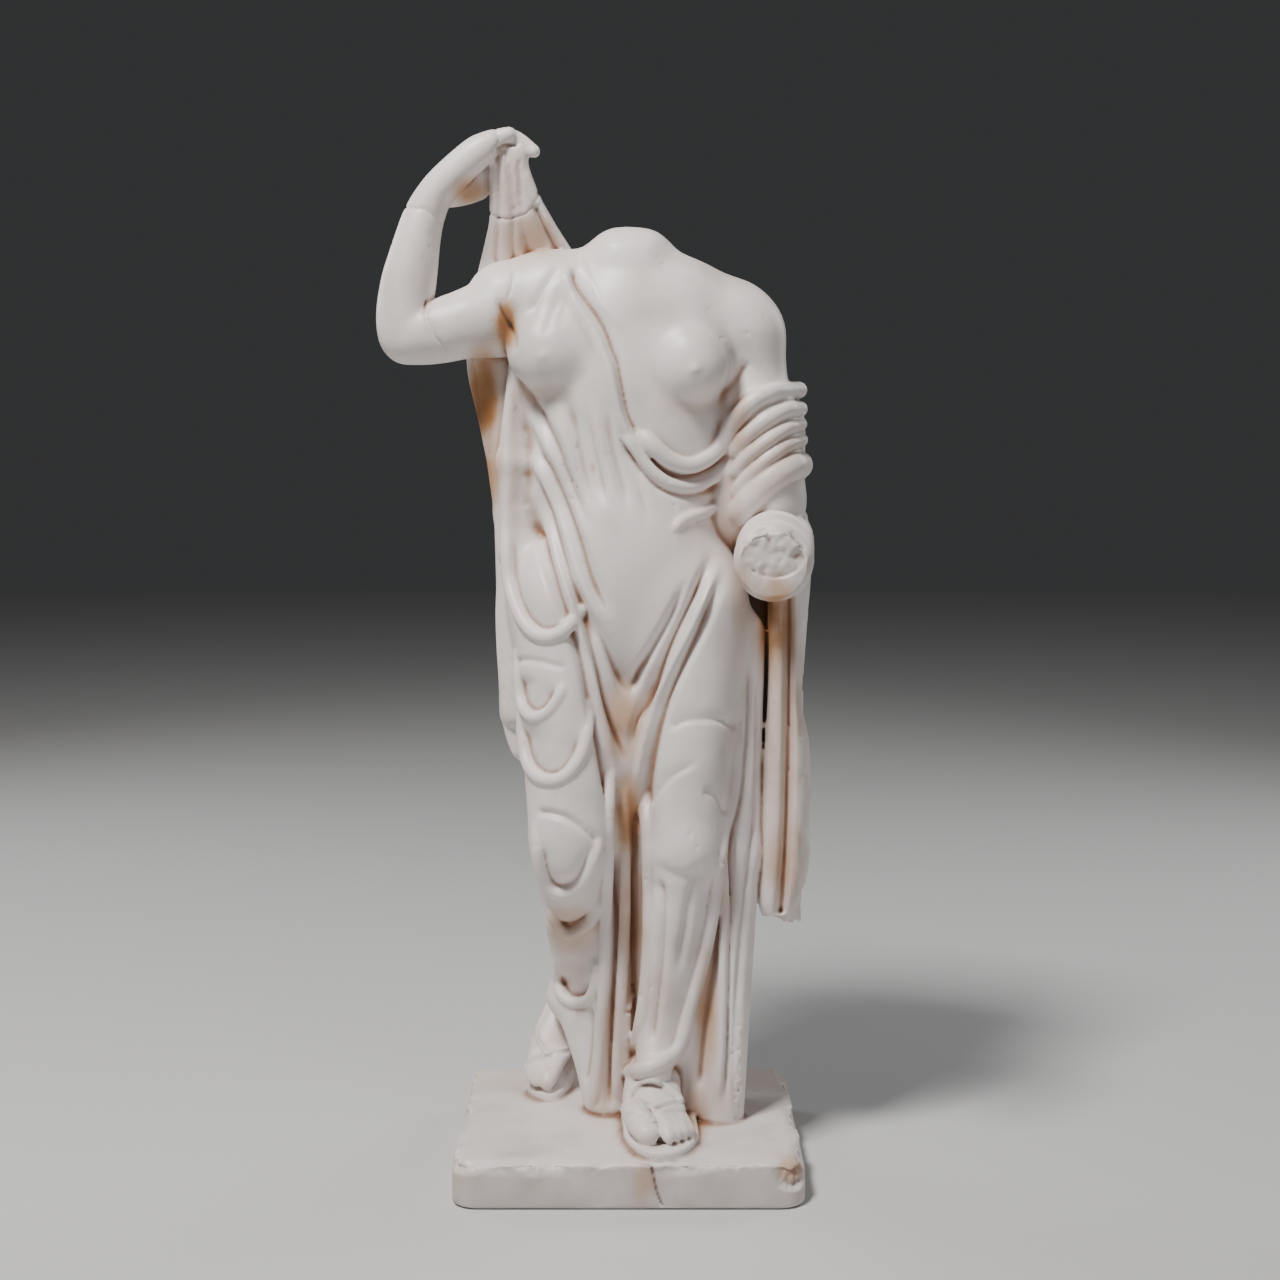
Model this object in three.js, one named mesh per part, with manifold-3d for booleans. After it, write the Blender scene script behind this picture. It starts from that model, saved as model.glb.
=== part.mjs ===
// Marble statue of a draped goddess on a low plinth, carved as one block: no head, the left forearm broken off.
// Millimetres, +Z up, the viewer on the -Y side, origin at the middle of the plinth's underside.
import * as THREE from "three";
import { mergeVertices } from "three/addons/utils/BufferGeometryUtils.js";
import Module from "manifold-3d";

// Driving dimensions
const PLINTH_WIDTH = 340;
const PLINTH_DEPTH = 300;
const PLINTH_HEIGHT = 45;
const PLINTH_CORNER = 24;
const PLINTH_EDGE = 2.5;
const EYE = [11, -1940.8, 718.4];
const PICTURE_AT = 1950;
const LOOK_DOWN = Math.atan(190 / PICTURE_AT);
const PICTURE_MIDDLE = [11, 513];
const TRIANGLES = 9600;
const MARBLE = { color: 0xddd0c4, roughness: 0.42, metalness: 0 };

// The front view is what a viewer sees from EYE, in millimetres on the picture plane through the origin.
// place() gives the real point at a known depth, and seen() gives a real point's place in the front view.
const COS = Math.cos(LOOK_DOWN);
const SIN = Math.sin(LOOK_DOWN);

function place(x, z, depth) {
  const slope = (z - PICTURE_MIDDLE[1]) / PICTURE_AT;
  const away = depth - EYE[1];
  const rise = (away * (slope * COS - SIN)) / (COS + slope * SIN);
  const reach = away * COS - rise * SIN;
  return [EYE[0] + ((x - PICTURE_MIDDLE[0]) * reach) / PICTURE_AT, depth, EYE[2] + rise];
}

function seen([x, y, z]) {
  const away = y - EYE[1];
  const rise = z - EYE[2];
  const reach = away * COS - rise * SIN;
  const up = away * SIN + rise * COS;
  return [
    PICTURE_MIDDLE[0] + (PICTURE_AT * (x - EYE[0])) / reach,
    PICTURE_MIDDLE[1] + (PICTURE_AT * up) / reach,
  ];
}

// Small helpers on points held as [x, y, z]
const add = (a, b, scale = 1) => a.map((value, i) => value + b[i] * scale);
const dot = (a, b) => a[0] * b[0] + a[1] * b[1] + a[2] * b[2];
const unit = (a) => a.map((value) => value / Math.hypot(...a));
const mix = (a, b, t) => a + (b - a) * t;
const clamp01 = (value) => Math.min(Math.max(value, 0), 1);
const ease = (t) => t * t * (3 - 2 * t);
const smooth = (from, to, value) => ease(clamp01((value - from) / (to - from)));

// Masses: balls and tapering limbs that melt into each other over `melt` millimetres.
// Each gives the distance from its surface, below zero inside, and a sphere that holds it.
function ball(x, z, depth, [rx, ry, rz], melt = 18) {
  const centre = place(x, z, depth);
  const smallest = Math.min(rx, ry, rz);
  const distance = (p) => {
    const u = (p[0] - centre[0]) / rx;
    const v = (p[1] - centre[1]) / ry;
    const w = (p[2] - centre[2]) / rz;
    const size = Math.sqrt(u * u + v * v + w * w);
    const slope = Math.sqrt((u / rx) ** 2 + (v / ry) ** 2 + (w / rz) ** 2);
    return slope < 1e-9 ? -smallest : (size * (size - 1)) / slope;
  };
  return { distance, melt, middle: centre, hold: Math.max(rx, ry, rz) };
}

function limb(from, fromRadius, to, toRadius, { melt = 18, depthScale = 1 } = {}) {
  const a = place(...from);
  const along = add(place(...to), a, -1);
  const length2 = dot(along, along);
  const distance = (p) => {
    const x = p[0] - a[0];
    const y = p[1] - a[1];
    const z = p[2] - a[2];
    const t = Math.min(Math.max((x * along[0] + y * along[1] + z * along[2]) / length2, 0), 1);
    const side = (y - along[1] * t) / depthScale;
    return Math.sqrt((x - along[0] * t) ** 2 + side * side + (z - along[2] * t) ** 2) - mix(fromRadius, toRadius, t);
  };
  const hold = Math.sqrt(length2) / 2 + Math.max(fromRadius, toRadius);
  return { distance, melt, middle: add(a, along, 0.5), hold };
}

// The melted body of a list of masses, as one distance. A mass too far off to matter is passed over.
function melted(masses) {
  return (p) => {
    let nearest = Infinity;
    for (const { distance, melt, middle, hold } of masses) {
      const apart = Math.hypot(p[0] - middle[0], p[1] - middle[1], p[2] - middle[2]) - hold;
      if (apart > nearest + melt) continue;
      const next = distance(p);
      const share = nearest === Infinity ? 0 : Math.max(melt - Math.abs(nearest - next), 0) / melt;
      nearest = Math.min(nearest, next) - (share * share * melt) / 4;
    }
    return nearest;
  };
}

function outward(body, p) {
  const step = 5;
  return unit([0, 1, 2].map((i) => {
    const e = [0, 0, 0];
    e[i] = step;
    return body(add(p, e)) - body(add(p, e, -1));
  }));
}

// Folds: lines of the front view, each a ridge (height above 0) or a groove (below 0) `half` wide on each side
function smoothLine(points, perSpan = 5) {
  const curve = new THREE.CatmullRomCurve3(points.map(([x, z]) => new THREE.Vector3(x, z, 0)), false, "centripetal");
  return curve.getPoints((points.length - 1) * perSpan).map(({ x, y }) => [x, y]);
}

function fold(half, height, points) {
  const line = smoothLine(points);
  const low = [0, 1].map((i) => Math.min(...line.map((p) => p[i])) - half);
  const high = [0, 1].map((i) => Math.max(...line.map((p) => p[i])) + half);
  return { half, height, line, low, high };
}

function foldHeight({ half, height, line, low, high }, x, z) {
  if (x < low[0] || x > high[0] || z < low[1] || z > high[1]) return 0;
  let nearest = Infinity;
  let place01 = 0;
  for (let i = 1; i < line.length; i += 1) {
    const [ax, az] = line[i - 1];
    const dx = line[i][0] - ax;
    const dz = line[i][1] - az;
    const t = THREE.MathUtils.clamp(((x - ax) * dx + (z - az) * dz) / (dx * dx + dz * dz), 0, 1);
    const away = Math.hypot(x - ax - dx * t, z - az - dz * t);
    if (away < nearest) {
      nearest = away;
      place01 = (i - 1 + t) / (line.length - 1);
    }
  }
  if (nearest >= half) return 0;
  const taper = smooth(0, 0.12, place01) * smooth(0, 0.12, 1 - place01);
  const across = nearest / half;
  return height * taper * (height > 0 ? (1 - across ** 2) ** 1.5 : (1 - across) ** 1.4);
}

const foldsHeight = (folds, x, z) => folds.reduce((sum, one) => sum + foldHeight(one, x, z), 0);

// A skin: rays leave the stations of an axis, and each stops where it leaves the body.
// A station is { from, spread(angle) }; the first and last stations close the skin with one point each.
function rayEnd(body, from, direction, reach) {
  let r = reach;
  for (let i = 0; i < 60; i += 1) {
    const gap = body(add(from, direction, r));
    if (Math.abs(gap) < 0.05 || r < 1) break;
    r -= gap * 0.6;
    if (r > reach) return reach;
  }
  return Math.max(r, 1);
}

function skin(body, stations, spokes, reach, relief = () => 0) {
  const rings = stations.map(({ from, spread }) =>
    Array.from({ length: spokes }, (_, i) => {
      const direction = spread((i / spokes) * 2 * Math.PI);
      const p = add(from, direction, rayEnd(body, from, direction, reach));
      const normal = outward(body, p);
      return add(p, normal, relief(p, normal));
    }),
  );
  return closedGrid(rings, stations[0].pole, stations.at(-1).pole);
}

// Rings of points joined into one closed mesh, with a point at each end
function closedGrid(rings, startPole, endPole) {
  const count = rings[0].length;
  const centre = (ring) => ring.reduce((sum, p) => add(sum, p, 1 / count), [0, 0, 0]);
  const points = [...rings.flat(), startPole ?? centre(rings[0]), endPole ?? centre(rings.at(-1))];
  const first = rings.length * count;
  const faces = [];
  for (let i = 0; i < count; i += 1) {
    const j = (i + 1) % count;
    faces.push(first, j, i, first + 1, first - count + i, first - count + j);
    for (let r = 0; r + 1 < rings.length; r += 1) {
      const a = r * count;
      faces.push(a + i, a + j, a + count + j, a + i, a + count + j, a + count + i);
    }
  }
  return solid(points, faces);
}

// manifold-3d solids
const wasm = await Module();
wasm.setup();

function solid(points, faces) {
  const mesh = new wasm.Mesh({
    numProp: 3,
    vertProperties: new Float32Array(points.flat()),
    triVerts: new Uint32Array(faces),
  });
  const made = new wasm.Manifold(mesh);
  if (made.volume() > 0) return made;
  for (let i = 0; i < faces.length; i += 3) [faces[i + 1], faces[i + 2]] = [faces[i + 2], faces[i + 1]];
  return solid(points, faces);
}

function solidOf(geometry) {
  geometry.deleteAttribute("normal");
  geometry.deleteAttribute("uv");
  const merged = mergeVertices(geometry, 1e-3);
  const mesh = new wasm.Mesh({
    numProp: 3,
    vertProperties: merged.attributes.position.array,
    triVerts: new Uint32Array(merged.index.array),
  });
  return new wasm.Manifold(mesh);
}

// Stations of a skin along a path: rays at right angles to it, with `side` as the first direction
function alongPath(places, count) {
  const curve = new THREE.CatmullRomCurve3(places.map((p) => new THREE.Vector3(...place(...p))));
  return Array.from({ length: count }, (_, i) => {
    const t = i / (count - 1);
    const tangent = curve.getTangent(t);
    const side = new THREE.Vector3(0, -1, 0).cross(tangent).normalize();
    const front = tangent.clone().cross(side);
    return {
      from: curve.getPoint(t).toArray(),
      spread: (angle) =>
        side.clone().multiplyScalar(Math.cos(angle)).addScaledVector(front, Math.sin(angle)).toArray(),
    };
  });
}

// The figure's masses, each as [x, z, depth] in the front view with its radii
const SHOULDER_STUB = limb([-85, 855, 0], 42, [-122, 850, -4], 41);
const FIGURE = [
  ball(3, 775, 2, [98, 66, 115]),
  ball(8, 846, 4, [103, 52, 48], 30),
  ball(1, 893, 2, [43, 40, 28], 14),
  limb([0, 850, 6], 48, [1, 890, 2], 36, { melt: 30 }),
  limb([-30, 878, 6], 22, [-85, 866, 4], 30, { melt: 24 }),
  SHOULDER_STUB,
  limb([30, 876, 6], 20, [96, 836, 4], 32, { melt: 24 }),
  ball(112, 820, 4, [41, 42, 46], 20),
  limb([116, 815, 4], 38, [138, 640, 2], 33, { melt: 12 }),
  limb([128, 735, -6], 38, [138, 655, -6], 38, { melt: 16 }),
  ball(64, 787, -38, [36, 34, 34], 12),
  ball(-78, 800, -34, [36, 32, 33], 12),
  ball(-6, 690, 0, [100, 58, 90], 30),
  ball(0, 610, -18, [75, 52, 75], 30),
  ball(-4, 556, 2, [114, 66, 95], 30),
  limb([62, 545, -14], 56, [56, 318, -38], 38, { melt: 24 }),
  ball(55, 305, -44, [30, 30, 34]),
  limb([55, 290, -40], 31, [28, 100, -22], 20),
  limb([-58, 545, -12], 58, [-57, 330, -50], 43, { melt: 24 }),
  ball(-56, 312, -52, [34, 34, 36]),
  limb([-58, 300, -46], 38, [-50, 150, 78], 20, { melt: 14 }),
  ball(-58, 158, 62, [26, 34, 26], 10),
  limb([-50, 150, 40], 24, [-22, 48, 5], 18, { melt: 12 }),
  limb([-5, 430, -22], 34, [-16, 60, 10], 26, { melt: 20 }),
  limb([112, 520, 0], 24, [106, 300, -4], 25, { melt: 14 }),
  limb([106, 300, -4], 25, [91, 36, -18], 24, { melt: 14 }),
  limb([-108, 790, -5], 12, [-119, 690, -5], 13, { melt: 8 }),
  limb([-119, 690, -5], 13, [-115, 600, -4], 13, { melt: 8 }),
  limb([-134, 800, 26], 24, [-117, 640, 24], 18, { melt: 6 }),
  limb([-117, 640, 24], 18, [-112, 440, 24], 18, { melt: 6 }),
  limb([0, 560, 16], 96, [34, 40, 38], 66, { melt: 24, depthScale: 0.62 }),
];
const RAISED_ARM = [
  limb([-108, 850, -3], 39.5, [-215, 824, -8], 33),
  ball(-222, 818, -8, [31, 30, 30]),
  limb([-222, 826, -8], 29, [-214, 888, -10], 26, { melt: 8 }),
  limb([-214, 888, -10], 26, [-204, 940, -10], 21.5, { melt: 8 }),
  limb([-204, 940, -10], 21.5, [-190, 968, -8], 19),
  limb([-190, 968, -8], 19, [-141, 1003, -8], 17, { melt: 10 }),
];
const HAND = [
  limb([-192, 966, -8], 18, [-141, 1003, -8], 17, { melt: 10 }),
  limb([-174, 962, 8], 15, [-141, 972, 10], 16, { melt: 10 }),
  limb([-141, 1006, -8], 15, [-122, 1017, -12], 9, { melt: 8 }),
  limb([-116, 1014, -4], 8, [-94, 1001, -8], 6, { melt: 4 }),
];

// Folds of the tunic and the mantle over the front of the figure
const V = [
  fold(9, -8, [[-100, 765], [-86, 730], [-73, 705], [-62, 675], [-50, 645], [-35, 615]]),
  fold(10, -9, [[-105, 750], [-95, 705], [-80, 680], [-66, 648], [-53, 615], [-42, 585], [-30, 558], [-15, 530]]),
  fold(10, -9, [[-103, 690], [-90, 655], [-78, 622], [-62, 585], [-48, 552], [-40, 536]]),
  fold(9, -8, [[-44, 545], [-30, 522], [-20, 503], [-13, 487], [-7, 472], [0, 456]]),
  fold(11, -14, [[-46, 545], [-36, 510], [-25, 475], [-15, 435], [-8, 410], [-3, 392]]),
  fold(11, -11, [[-112, 790], [-105, 700], [-100, 640], [-88, 608], [-75, 572], [-60, 530], [-45, 487], [-37, 450],
    [-26, 400], [-18, 360], [-17, 330]]),
  fold(9, -8, [[0, 456], [10, 482], [25, 508], [40, 535]]),
  fold(11, -13, [[-3, 392], [8, 425], [17, 455], [28, 482], [40, 508], [62, 550]]),
  fold(11, 8, [[15, 345], [21, 390], [32, 435], [42, 467], [58, 505], [77, 547], [95, 600]]),
];
const CATENARIES = [
  fold(7, 6, [[-127, 600], [-124, 575], [-108, 535], [-85, 521], [-58, 532]]),
  fold(6, -3, [[-117, 493], [-92, 490], [-60, 486]]),
  fold(6, 4, [[-115, 480], [-110, 450], [-97, 434], [-80, 444], [-65, 470], [-60, 486]]),
  fold(7, 5, [[-113, 430], [-105, 392], [-90, 373], [-62, 384], [-42, 425]]),
  fold(7, -4, [[-95, 342], [-65, 337], [-38, 318], [-24, 298]]),
  fold(8, 8, [[-98, 312], [-90, 275], [-70, 260], [-42, 273], [-31, 307]]),
  fold(8, -6, [[-90, 255], [-75, 230], [-50, 228], [-30, 245]]),
];
const SKIRT = [
  fold(8, -9, [[-18, 330], [-13, 250], [-14, 200], [-17, 150], [-20, 90], [-20, 40]]),
  fold(8, 5, [[-16, 345], [-23, 250], [-23, 200], [-28, 130], [-35, 60]]),
  fold(9, -9, [[5, 300], [6, 250], [5, 200], [4, 150], [0, 100]]),
  fold(7, 5, [[-4, 290], [-4, 250], [-5, 200], [-8, 150], [-10, 100], [-6, 40]]),
  fold(7, 7, [[90, 300], [86, 270], [77, 210], [61, 150], [50, 110], [40, 93], [5, 82]]),
  fold(12, -14, [[92, 250], [88, 200], [77, 150], [72, 110], [66, 60]]),
  fold(6, -6, [[121, 500], [121, 440], [114, 360], [103, 300], [96, 200], [98, 110], [95, 40]]),
  fold(6, 4, [[36, 420], [55, 430], [90, 431], [113, 420]]),
  fold(6, 3, [[20, 350], [35, 375], [70, 393]]),
  fold(6, -4, [[20, 300], [45, 283], [62, 280], [85, 302]]),
];
const ROPE = [
  fold(9, 10, [[12, 718], [30, 700], [45, 692], [60, 690], [75, 694], [97, 716], [112, 740], [135, 758], [178, 764]]),
  fold(7, -8, [[-57, 885], [-45, 855], [-25, 823], [-12, 790], [-5, 760], [7, 722], [25, 695]]),
  fold(8, 4, [[-60, 880], [-52, 850], [-33, 820], [-22, 790], [-14, 760], [-4, 725], [12, 700], [35, 676], [62, 669],
    [95, 686]]),
  fold(5, -5, [[5, 700], [25, 673], [55, 661], [92, 670]]),
  fold(7, 4, [[98, 680], [90, 650], [70, 637], [45, 622]]),
  fold(6, -6, [[118, 790], [105, 768], [96, 740]]),
  fold(7, -6, [[28, 765], [45, 740], [75, 735], [95, 755]]),
  fold(7, -4, [[-110, 780], [-70, 757], [-40, 770]]),
];
const WRAPS = [
  fold(8, 7, [[100, 702], [120, 722], [140, 740], [178, 748]]),
  fold(8, 7, [[100, 682], [120, 700], [155, 730], [180, 736]]),
  fold(8, 7, [[100, 660], [120, 682], [155, 713], [182, 722]]),
  fold(13, 7, [[106, 640], [140, 678], [182, 696]]),
];
const FRONT_FOLDS = [...V, ...CATENARIES, ...SKIRT, ...ROPE, ...WRAPS];

const BACK_FOLD_WIDTH = 30;
const BACK_FOLD_HEIGHT = 4;

function frontRelief(p, normal) {
  const facing = smooth(-0.45, 0.05, -normal[1]);
  const front = facing > 0 ? facing * foldsHeight(FRONT_FOLDS, ...seen(p)) : 0;
  const behind = smooth(0.05, 0.5, normal[1]) * smooth(470, 380, p[2]);
  return front + behind * BACK_FOLD_HEIGHT * Math.cos((2 * Math.PI * (p[0] - 0.1 * p[2])) / BACK_FOLD_WIDTH);
}

// Figure: level rays from the plinth to the chest, then a fan of rays from there over the shoulders and neck
function figure(levels, spokes) {
  const chest = [3, 20, 815];
  const low = PLINTH_HEIGHT - 8;
  const level = (z) => ({
    from: [mix(24, 3, smooth(40, 500, z)), mix(40, 20, smooth(150, 800, z)), z],
    spread: (angle) => [Math.cos(angle), Math.sin(angle), 0],
  });
  const fan = (lift) => ({
    from: chest,
    spread: (angle) => [Math.cos(lift) * Math.cos(angle), Math.cos(lift) * Math.sin(angle), Math.sin(lift)],
  });
  const upright = Array.from({ length: levels }, (_, i) => level(mix(low, chest[2], i / levels)));
  const over = Array.from({ length: levels / 4 }, (_, i) => fan((i / (levels / 4)) * (Math.PI / 2) * 0.995));
  const body = melted(FIGURE);
  return skin(body, [...upright, ...over], spokes, 260, frontRelief);
}

const raisedArm = () =>
  skin(melted(RAISED_ARM), alongPath([[-112, 850, -3], [-150, 840, -4], [-205, 829, -8], [-219, 850, -9],
    [-211, 900, -10], [-203, 945, -9], [-180, 976, -8], [-145, 1001, -8]], 44), 28, 75);
const hand = () =>
  skin(melted(HAND), alongPath([[-190, 966, -4], [-165, 982, -2], [-140, 1000, -4], [-124, 1012, -6],
    [-108, 1009, -6], [-92, 1000, -8]], 30), 24, 46);

// Sections of cloth that hang: each row is [z, left, right, depth of the middle, half the thickness]
function hanging(rows, count, spokes, relief) {
  const curve = (column) => new THREE.CatmullRomCurve3(rows.map((row, i) => new THREE.Vector3(i, row[column], 0)));
  const columns = [0, 1, 2, 3, 4].map(curve);
  const rings = Array.from({ length: count }, (_, i) => {
    const [z, left, right, depth, half] = columns.map((column) => column.getPoint(i / (count - 1)).y);
    return Array.from({ length: spokes }, (_unused, k) => {
      const angle = (k / spokes) * 2 * Math.PI;
      const across = Math.sign(Math.cos(angle)) * Math.abs(Math.cos(angle)) ** 0.6;
      const deep = Math.sign(Math.sin(angle)) * Math.abs(Math.sin(angle)) ** 0.8;
      const x = mix(left, right, (across + 1) / 2);
      return place(x, z, depth + deep * (half + relief(x, z)));
    });
  });
  return closedGrid(rings);
}

const FAN_FOLDS = [
  fold(5, -5, [[-131, 1000], [-131, 950], [-136, 890]]),
  fold(5, -4, [[-125, 1005], [-118, 960], [-114, 900]]),
  fold(5, -4, [[-108, 990], [-105, 945], [-98, 900]]),
  fold(6, -6, [[-92, 948], [-82, 920], [-70, 900]]),
];
const fan = () =>
  hanging([
    [1014, -126, -114, -6, 8],
    [1002, -137, -102, -6, 13],
    [985, -139, -100, -4, 15],
    [955, -139.5, -88, 2, 16],
    [925, -141, -71, 12, 17],
    [890, -149, -50, 26, 18],
    [850, -158, -36, 38, 20],
    [800, -162, -30, 44, 22],
  ], 40, 36, (x, z) => foldsHeight(FAN_FOLDS, x, z));

const PANEL_FOLDS = [
  fold(9, -14, [[160, 590], [160, 500], [159, 400], [156, 300], [151, 240]]),
  fold(5, -5, [[176, 600], [172, 500], [176, 420]]),
];
const panel = () =>
  hanging([
    [640, 138, 178, 20, 30],
    [600, 138, 183, 16, 34],
    [500, 139, 176, 12, 36],
    [450, 138, 173, 10, 36],
    [400, 135, 181, 10, 36],
    [300, 130, 181, 10, 34],
    [255, 129, 172, 10, 31],
    [237, 133, 163, 10, 26],
  ], 44, 40, (x, z) => foldsHeight(PANEL_FOLDS, x, z));

const MANTLE_EDGE = [[-141, 930], [-147, 905], [-156, 865], [-162, 805], [-151, 750], [-141, 700], [-132, 650],
  [-133, 600], [-135, 550], [-133, 500], [-128, 440], [-114, 400]];

const MANTLE_FOLD_TURN = 0.21;

// Mantle behind the figure: a thick cloth from the left edge round the back to the right arm
function mantle(columns, rows) {
  const thick = 17;
  const back = 82;
  const edges = new THREE.CatmullRomCurve3(MANTLE_EDGE.map(([x, z]) => new THREE.Vector3(x, z, 0)));
  const edgePoints = edges.getPoints(60);
  const edge = (z) => {
    const i = Math.min(Math.max(edgePoints.findIndex((p) => p.y < z), 1), edgePoints.length - 1);
    const [a, b] = [edgePoints[i - 1], edgePoints[i]];
    return mix(a.x, b.x, THREE.MathUtils.clamp((z - a.y) / (b.y - a.y || 1), 0, 1));
  };
  const mid = (u, v) => {
    const top = mix(905, 748, smooth(0.25, 1, u));
    const bottom = mix(414, 236, u);
    const z = mix(top, bottom, v);
    const angle = Math.PI * (1.0 - u);
    const across = Math.cos(angle);
    const x = across < 0 ? -(edge(z) + thick / 2) * across : 168 * across;
    const sag = 10 * smooth(900, 840, z) - 14 * smooth(560, 400, z) * (1 - u);
    return [x, 18 + (back - 26 + sag) * Math.sin(angle) ** 0.7, z];
  };
  const ripple = (u, v) => {
    const [x, , z] = mid(u, v);
    const turn = Math.atan2(x + 125, 1075 - z);
    const swing = Math.sin((2 * Math.PI * turn) / MANTLE_FOLD_TURN);
    return 6 * (1 - Math.abs(swing) ** 0.7) * smooth(0.02, 0.12, u) * smooth(1, 0.9, u) * smooth(1.05, 0.85, v);
  };
  const face = (side) => (i, j) => {
    const u = i / columns;
    const v = j / rows;
    const e = 0.004;
    const across = add(mid(Math.min(u + e, 1), v), mid(Math.max(u - e, 0), v), -1);
    const down = add(mid(u, Math.min(v + e, 1)), mid(u, Math.max(v - e, 0)), -1);
    const out = new THREE.Vector3(...across).cross(new THREE.Vector3(...down)).normalize().toArray();
    const away = out[1] < 0 ? -1 : 1;
    const half = thick / 2 + (side > 0 ? ripple(u, v) : 0);
    return add(mid(u, v), out, away * side * half);
  };
  const rings = [];
  for (let j = 0; j <= rows; j += 1) {
    const outer = Array.from({ length: columns + 1 }, (_, i) => face(1)(i, j));
    const inner = Array.from({ length: columns + 1 }, (_, i) => face(-1)(columns - i, j));
    rings.push([...outer, ...inner]);
  }
  return closedGrid(rings);
}

// Stump of the left forearm in its gathered sleeve, pointing at the viewer
function stump() {
  const from = place(147, 612, 10);
  const tip = place(144, 588, -142);
  const along = unit(add(tip, from, -1));
  const side = unit([along[1], -along[0], 0]);
  const up = [side[1] * along[2], -side[0] * along[2], side[0] * along[1] - side[1] * along[0]];
  const length = Math.hypot(...add(tip, from, -1));
  const rings = Array.from({ length: 24 }, (_, i) => {
    const t = i / 23;
    const radius = 36 + 2.2 * Math.cos(t * 34) * smooth(1, 0.85, t) - 3.5 * smooth(0.9, 1, t);
    const centre = add(from, along, length * t);
    return Array.from({ length: 36 }, (_unused, k) => {
      const angle = (k / 36) * 2 * Math.PI;
      return add(add(centre, side, radius * Math.cos(angle)), up, radius * Math.sin(angle));
    });
  });
  return closedGrid(rings);
}

// Foot on a sandal sole: heel at the origin, toes along -Y, then turned, tipped and moved to its place.
// `big` is the side of the big toe, -1 or 1 along X.
const TOES = [[17, 147, 12], [-5.5, 149, 7], [-16, 145, 6.2], [-24, 141, 5.8], [-31, 135, 5.8]];
const FOOT_SECTIONS = [[-8, 10, 22], [8, 20, 46], [35, 21, 62], [70, 25, 54], [95, 30, 42], [118, 33, 28], [136, 30, 17]];
const SOLE_THICKNESS = 8;

function foot({ heel, turn, tip, big }) {
  const move = new THREE.Matrix4().makeTranslation(...heel)
    .multiply(new THREE.Matrix4().makeRotationZ(turn))
    .multiply(new THREE.Matrix4().makeRotationX(tip));
  const rings = FOOT_SECTIONS.map(([y, half, high]) =>
    Array.from({ length: 28 }, (_, k) => {
      const angle = (k / 28) * 2 * Math.PI;
      const lift = Math.sin(angle) > 0 ? high * Math.sin(angle) ** 0.8 : 5 * Math.sin(angle);
      const lean = big * half * 0.25 * Math.max(Math.sin(angle), 0);
      return [Math.cos(angle) * half + lean, -y, SOLE_THICKNESS + lift];
    }),
  );
  const sole = new THREE.Shape();
  sole.moveTo(-22 * big, 12);
  sole.bezierCurveTo(-28 * big, -60, -42 * big, -100, -40 * big, -132);
  sole.bezierCurveTo(-34 * big, -168, 26 * big, -184, 35 * big, -150);
  sole.bezierCurveTo(38 * big, -110, 26 * big, -60, 22 * big, 12);
  sole.bezierCurveTo(14 * big, 22, -14 * big, 22, -22 * big, 12);
  const slab = new THREE.ExtrudeGeometry(sole, { depth: SOLE_THICKNESS, bevelEnabled: false, curveSegments: 10 });
  const toeShape = new THREE.CapsuleGeometry(1, 2.6, 5, 12);
  const toes = TOES.map(([x, reach, radius]) =>
    toeShape.clone().scale(radius, radius, radius * 0.85)
      .translate(big * x, -reach + radius * 2.3, SOLE_THICKNESS - 2 + radius * 0.8));
  return [slab, ...toes].reduce((sum, one) => sum.add(solidOf(one)), closedGrid(rings)).transform(move.elements);
}

// Plinth: a block with rounded upright corners and softened edges
function plinth() {
  const w = PLINTH_WIDTH / 2 - PLINTH_EDGE;
  const d = PLINTH_DEPTH / 2 - PLINTH_EDGE;
  const r = PLINTH_CORNER;
  const outline = new THREE.Shape();
  outline.moveTo(-w + r, -d);
  outline.lineTo(w - r, -d).absarc(w - r, -d + r, r, -Math.PI / 2, 0);
  outline.lineTo(w, d - r).absarc(w - r, d - r, r, 0, Math.PI / 2);
  outline.lineTo(-w + r, d).absarc(-w + r, d - r, r, Math.PI / 2, Math.PI);
  outline.lineTo(-w, -d + r).absarc(-w + r, -d + r, r, Math.PI, Math.PI * 1.5);
  const block = new THREE.ExtrudeGeometry(outline, {
    depth: PLINTH_HEIGHT - 2 * PLINTH_EDGE,
    bevelSize: PLINTH_EDGE,
    bevelThickness: PLINTH_EDGE,
    bevelSegments: 2,
    curveSegments: 5,
  });
  return solidOf(block.translate(0, 0, PLINTH_EDGE));
}

// Thinning: the edge whose loss moves the surface least goes first, until `wanted` triangles are left.
// Each point keeps the sum of its faces' squared plane distances as ten numbers.
function planeTerms([x, y, z], offset, weight) {
  return [x * x, x * y, x * z, x * offset, y * y, y * z, y * offset, z * z, z * offset, offset * offset]
    .map((value) => value * weight);
}

function planeError(q, [x, y, z]) {
  return q[0] * x * x + 2 * q[1] * x * y + 2 * q[2] * x * z + 2 * q[3] * x + q[4] * y * y + 2 * q[5] * y * z
    + 2 * q[6] * y + q[7] * z * z + 2 * q[8] * z + q[9];
}

// The point with the least error, or nothing where the planes don't settle it
function settle(q) {
  const matrix = new THREE.Matrix3(q[0], q[1], q[2], q[1], q[4], q[5], q[2], q[5], q[7]);
  const scale = Math.max(q[0], q[4], q[7]);
  if (Math.abs(matrix.determinant()) < 1e-4 * scale ** 3) return null;
  return new THREE.Vector3(-q[3], -q[6], -q[8]).applyMatrix3(matrix.invert()).toArray();
}

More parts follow.
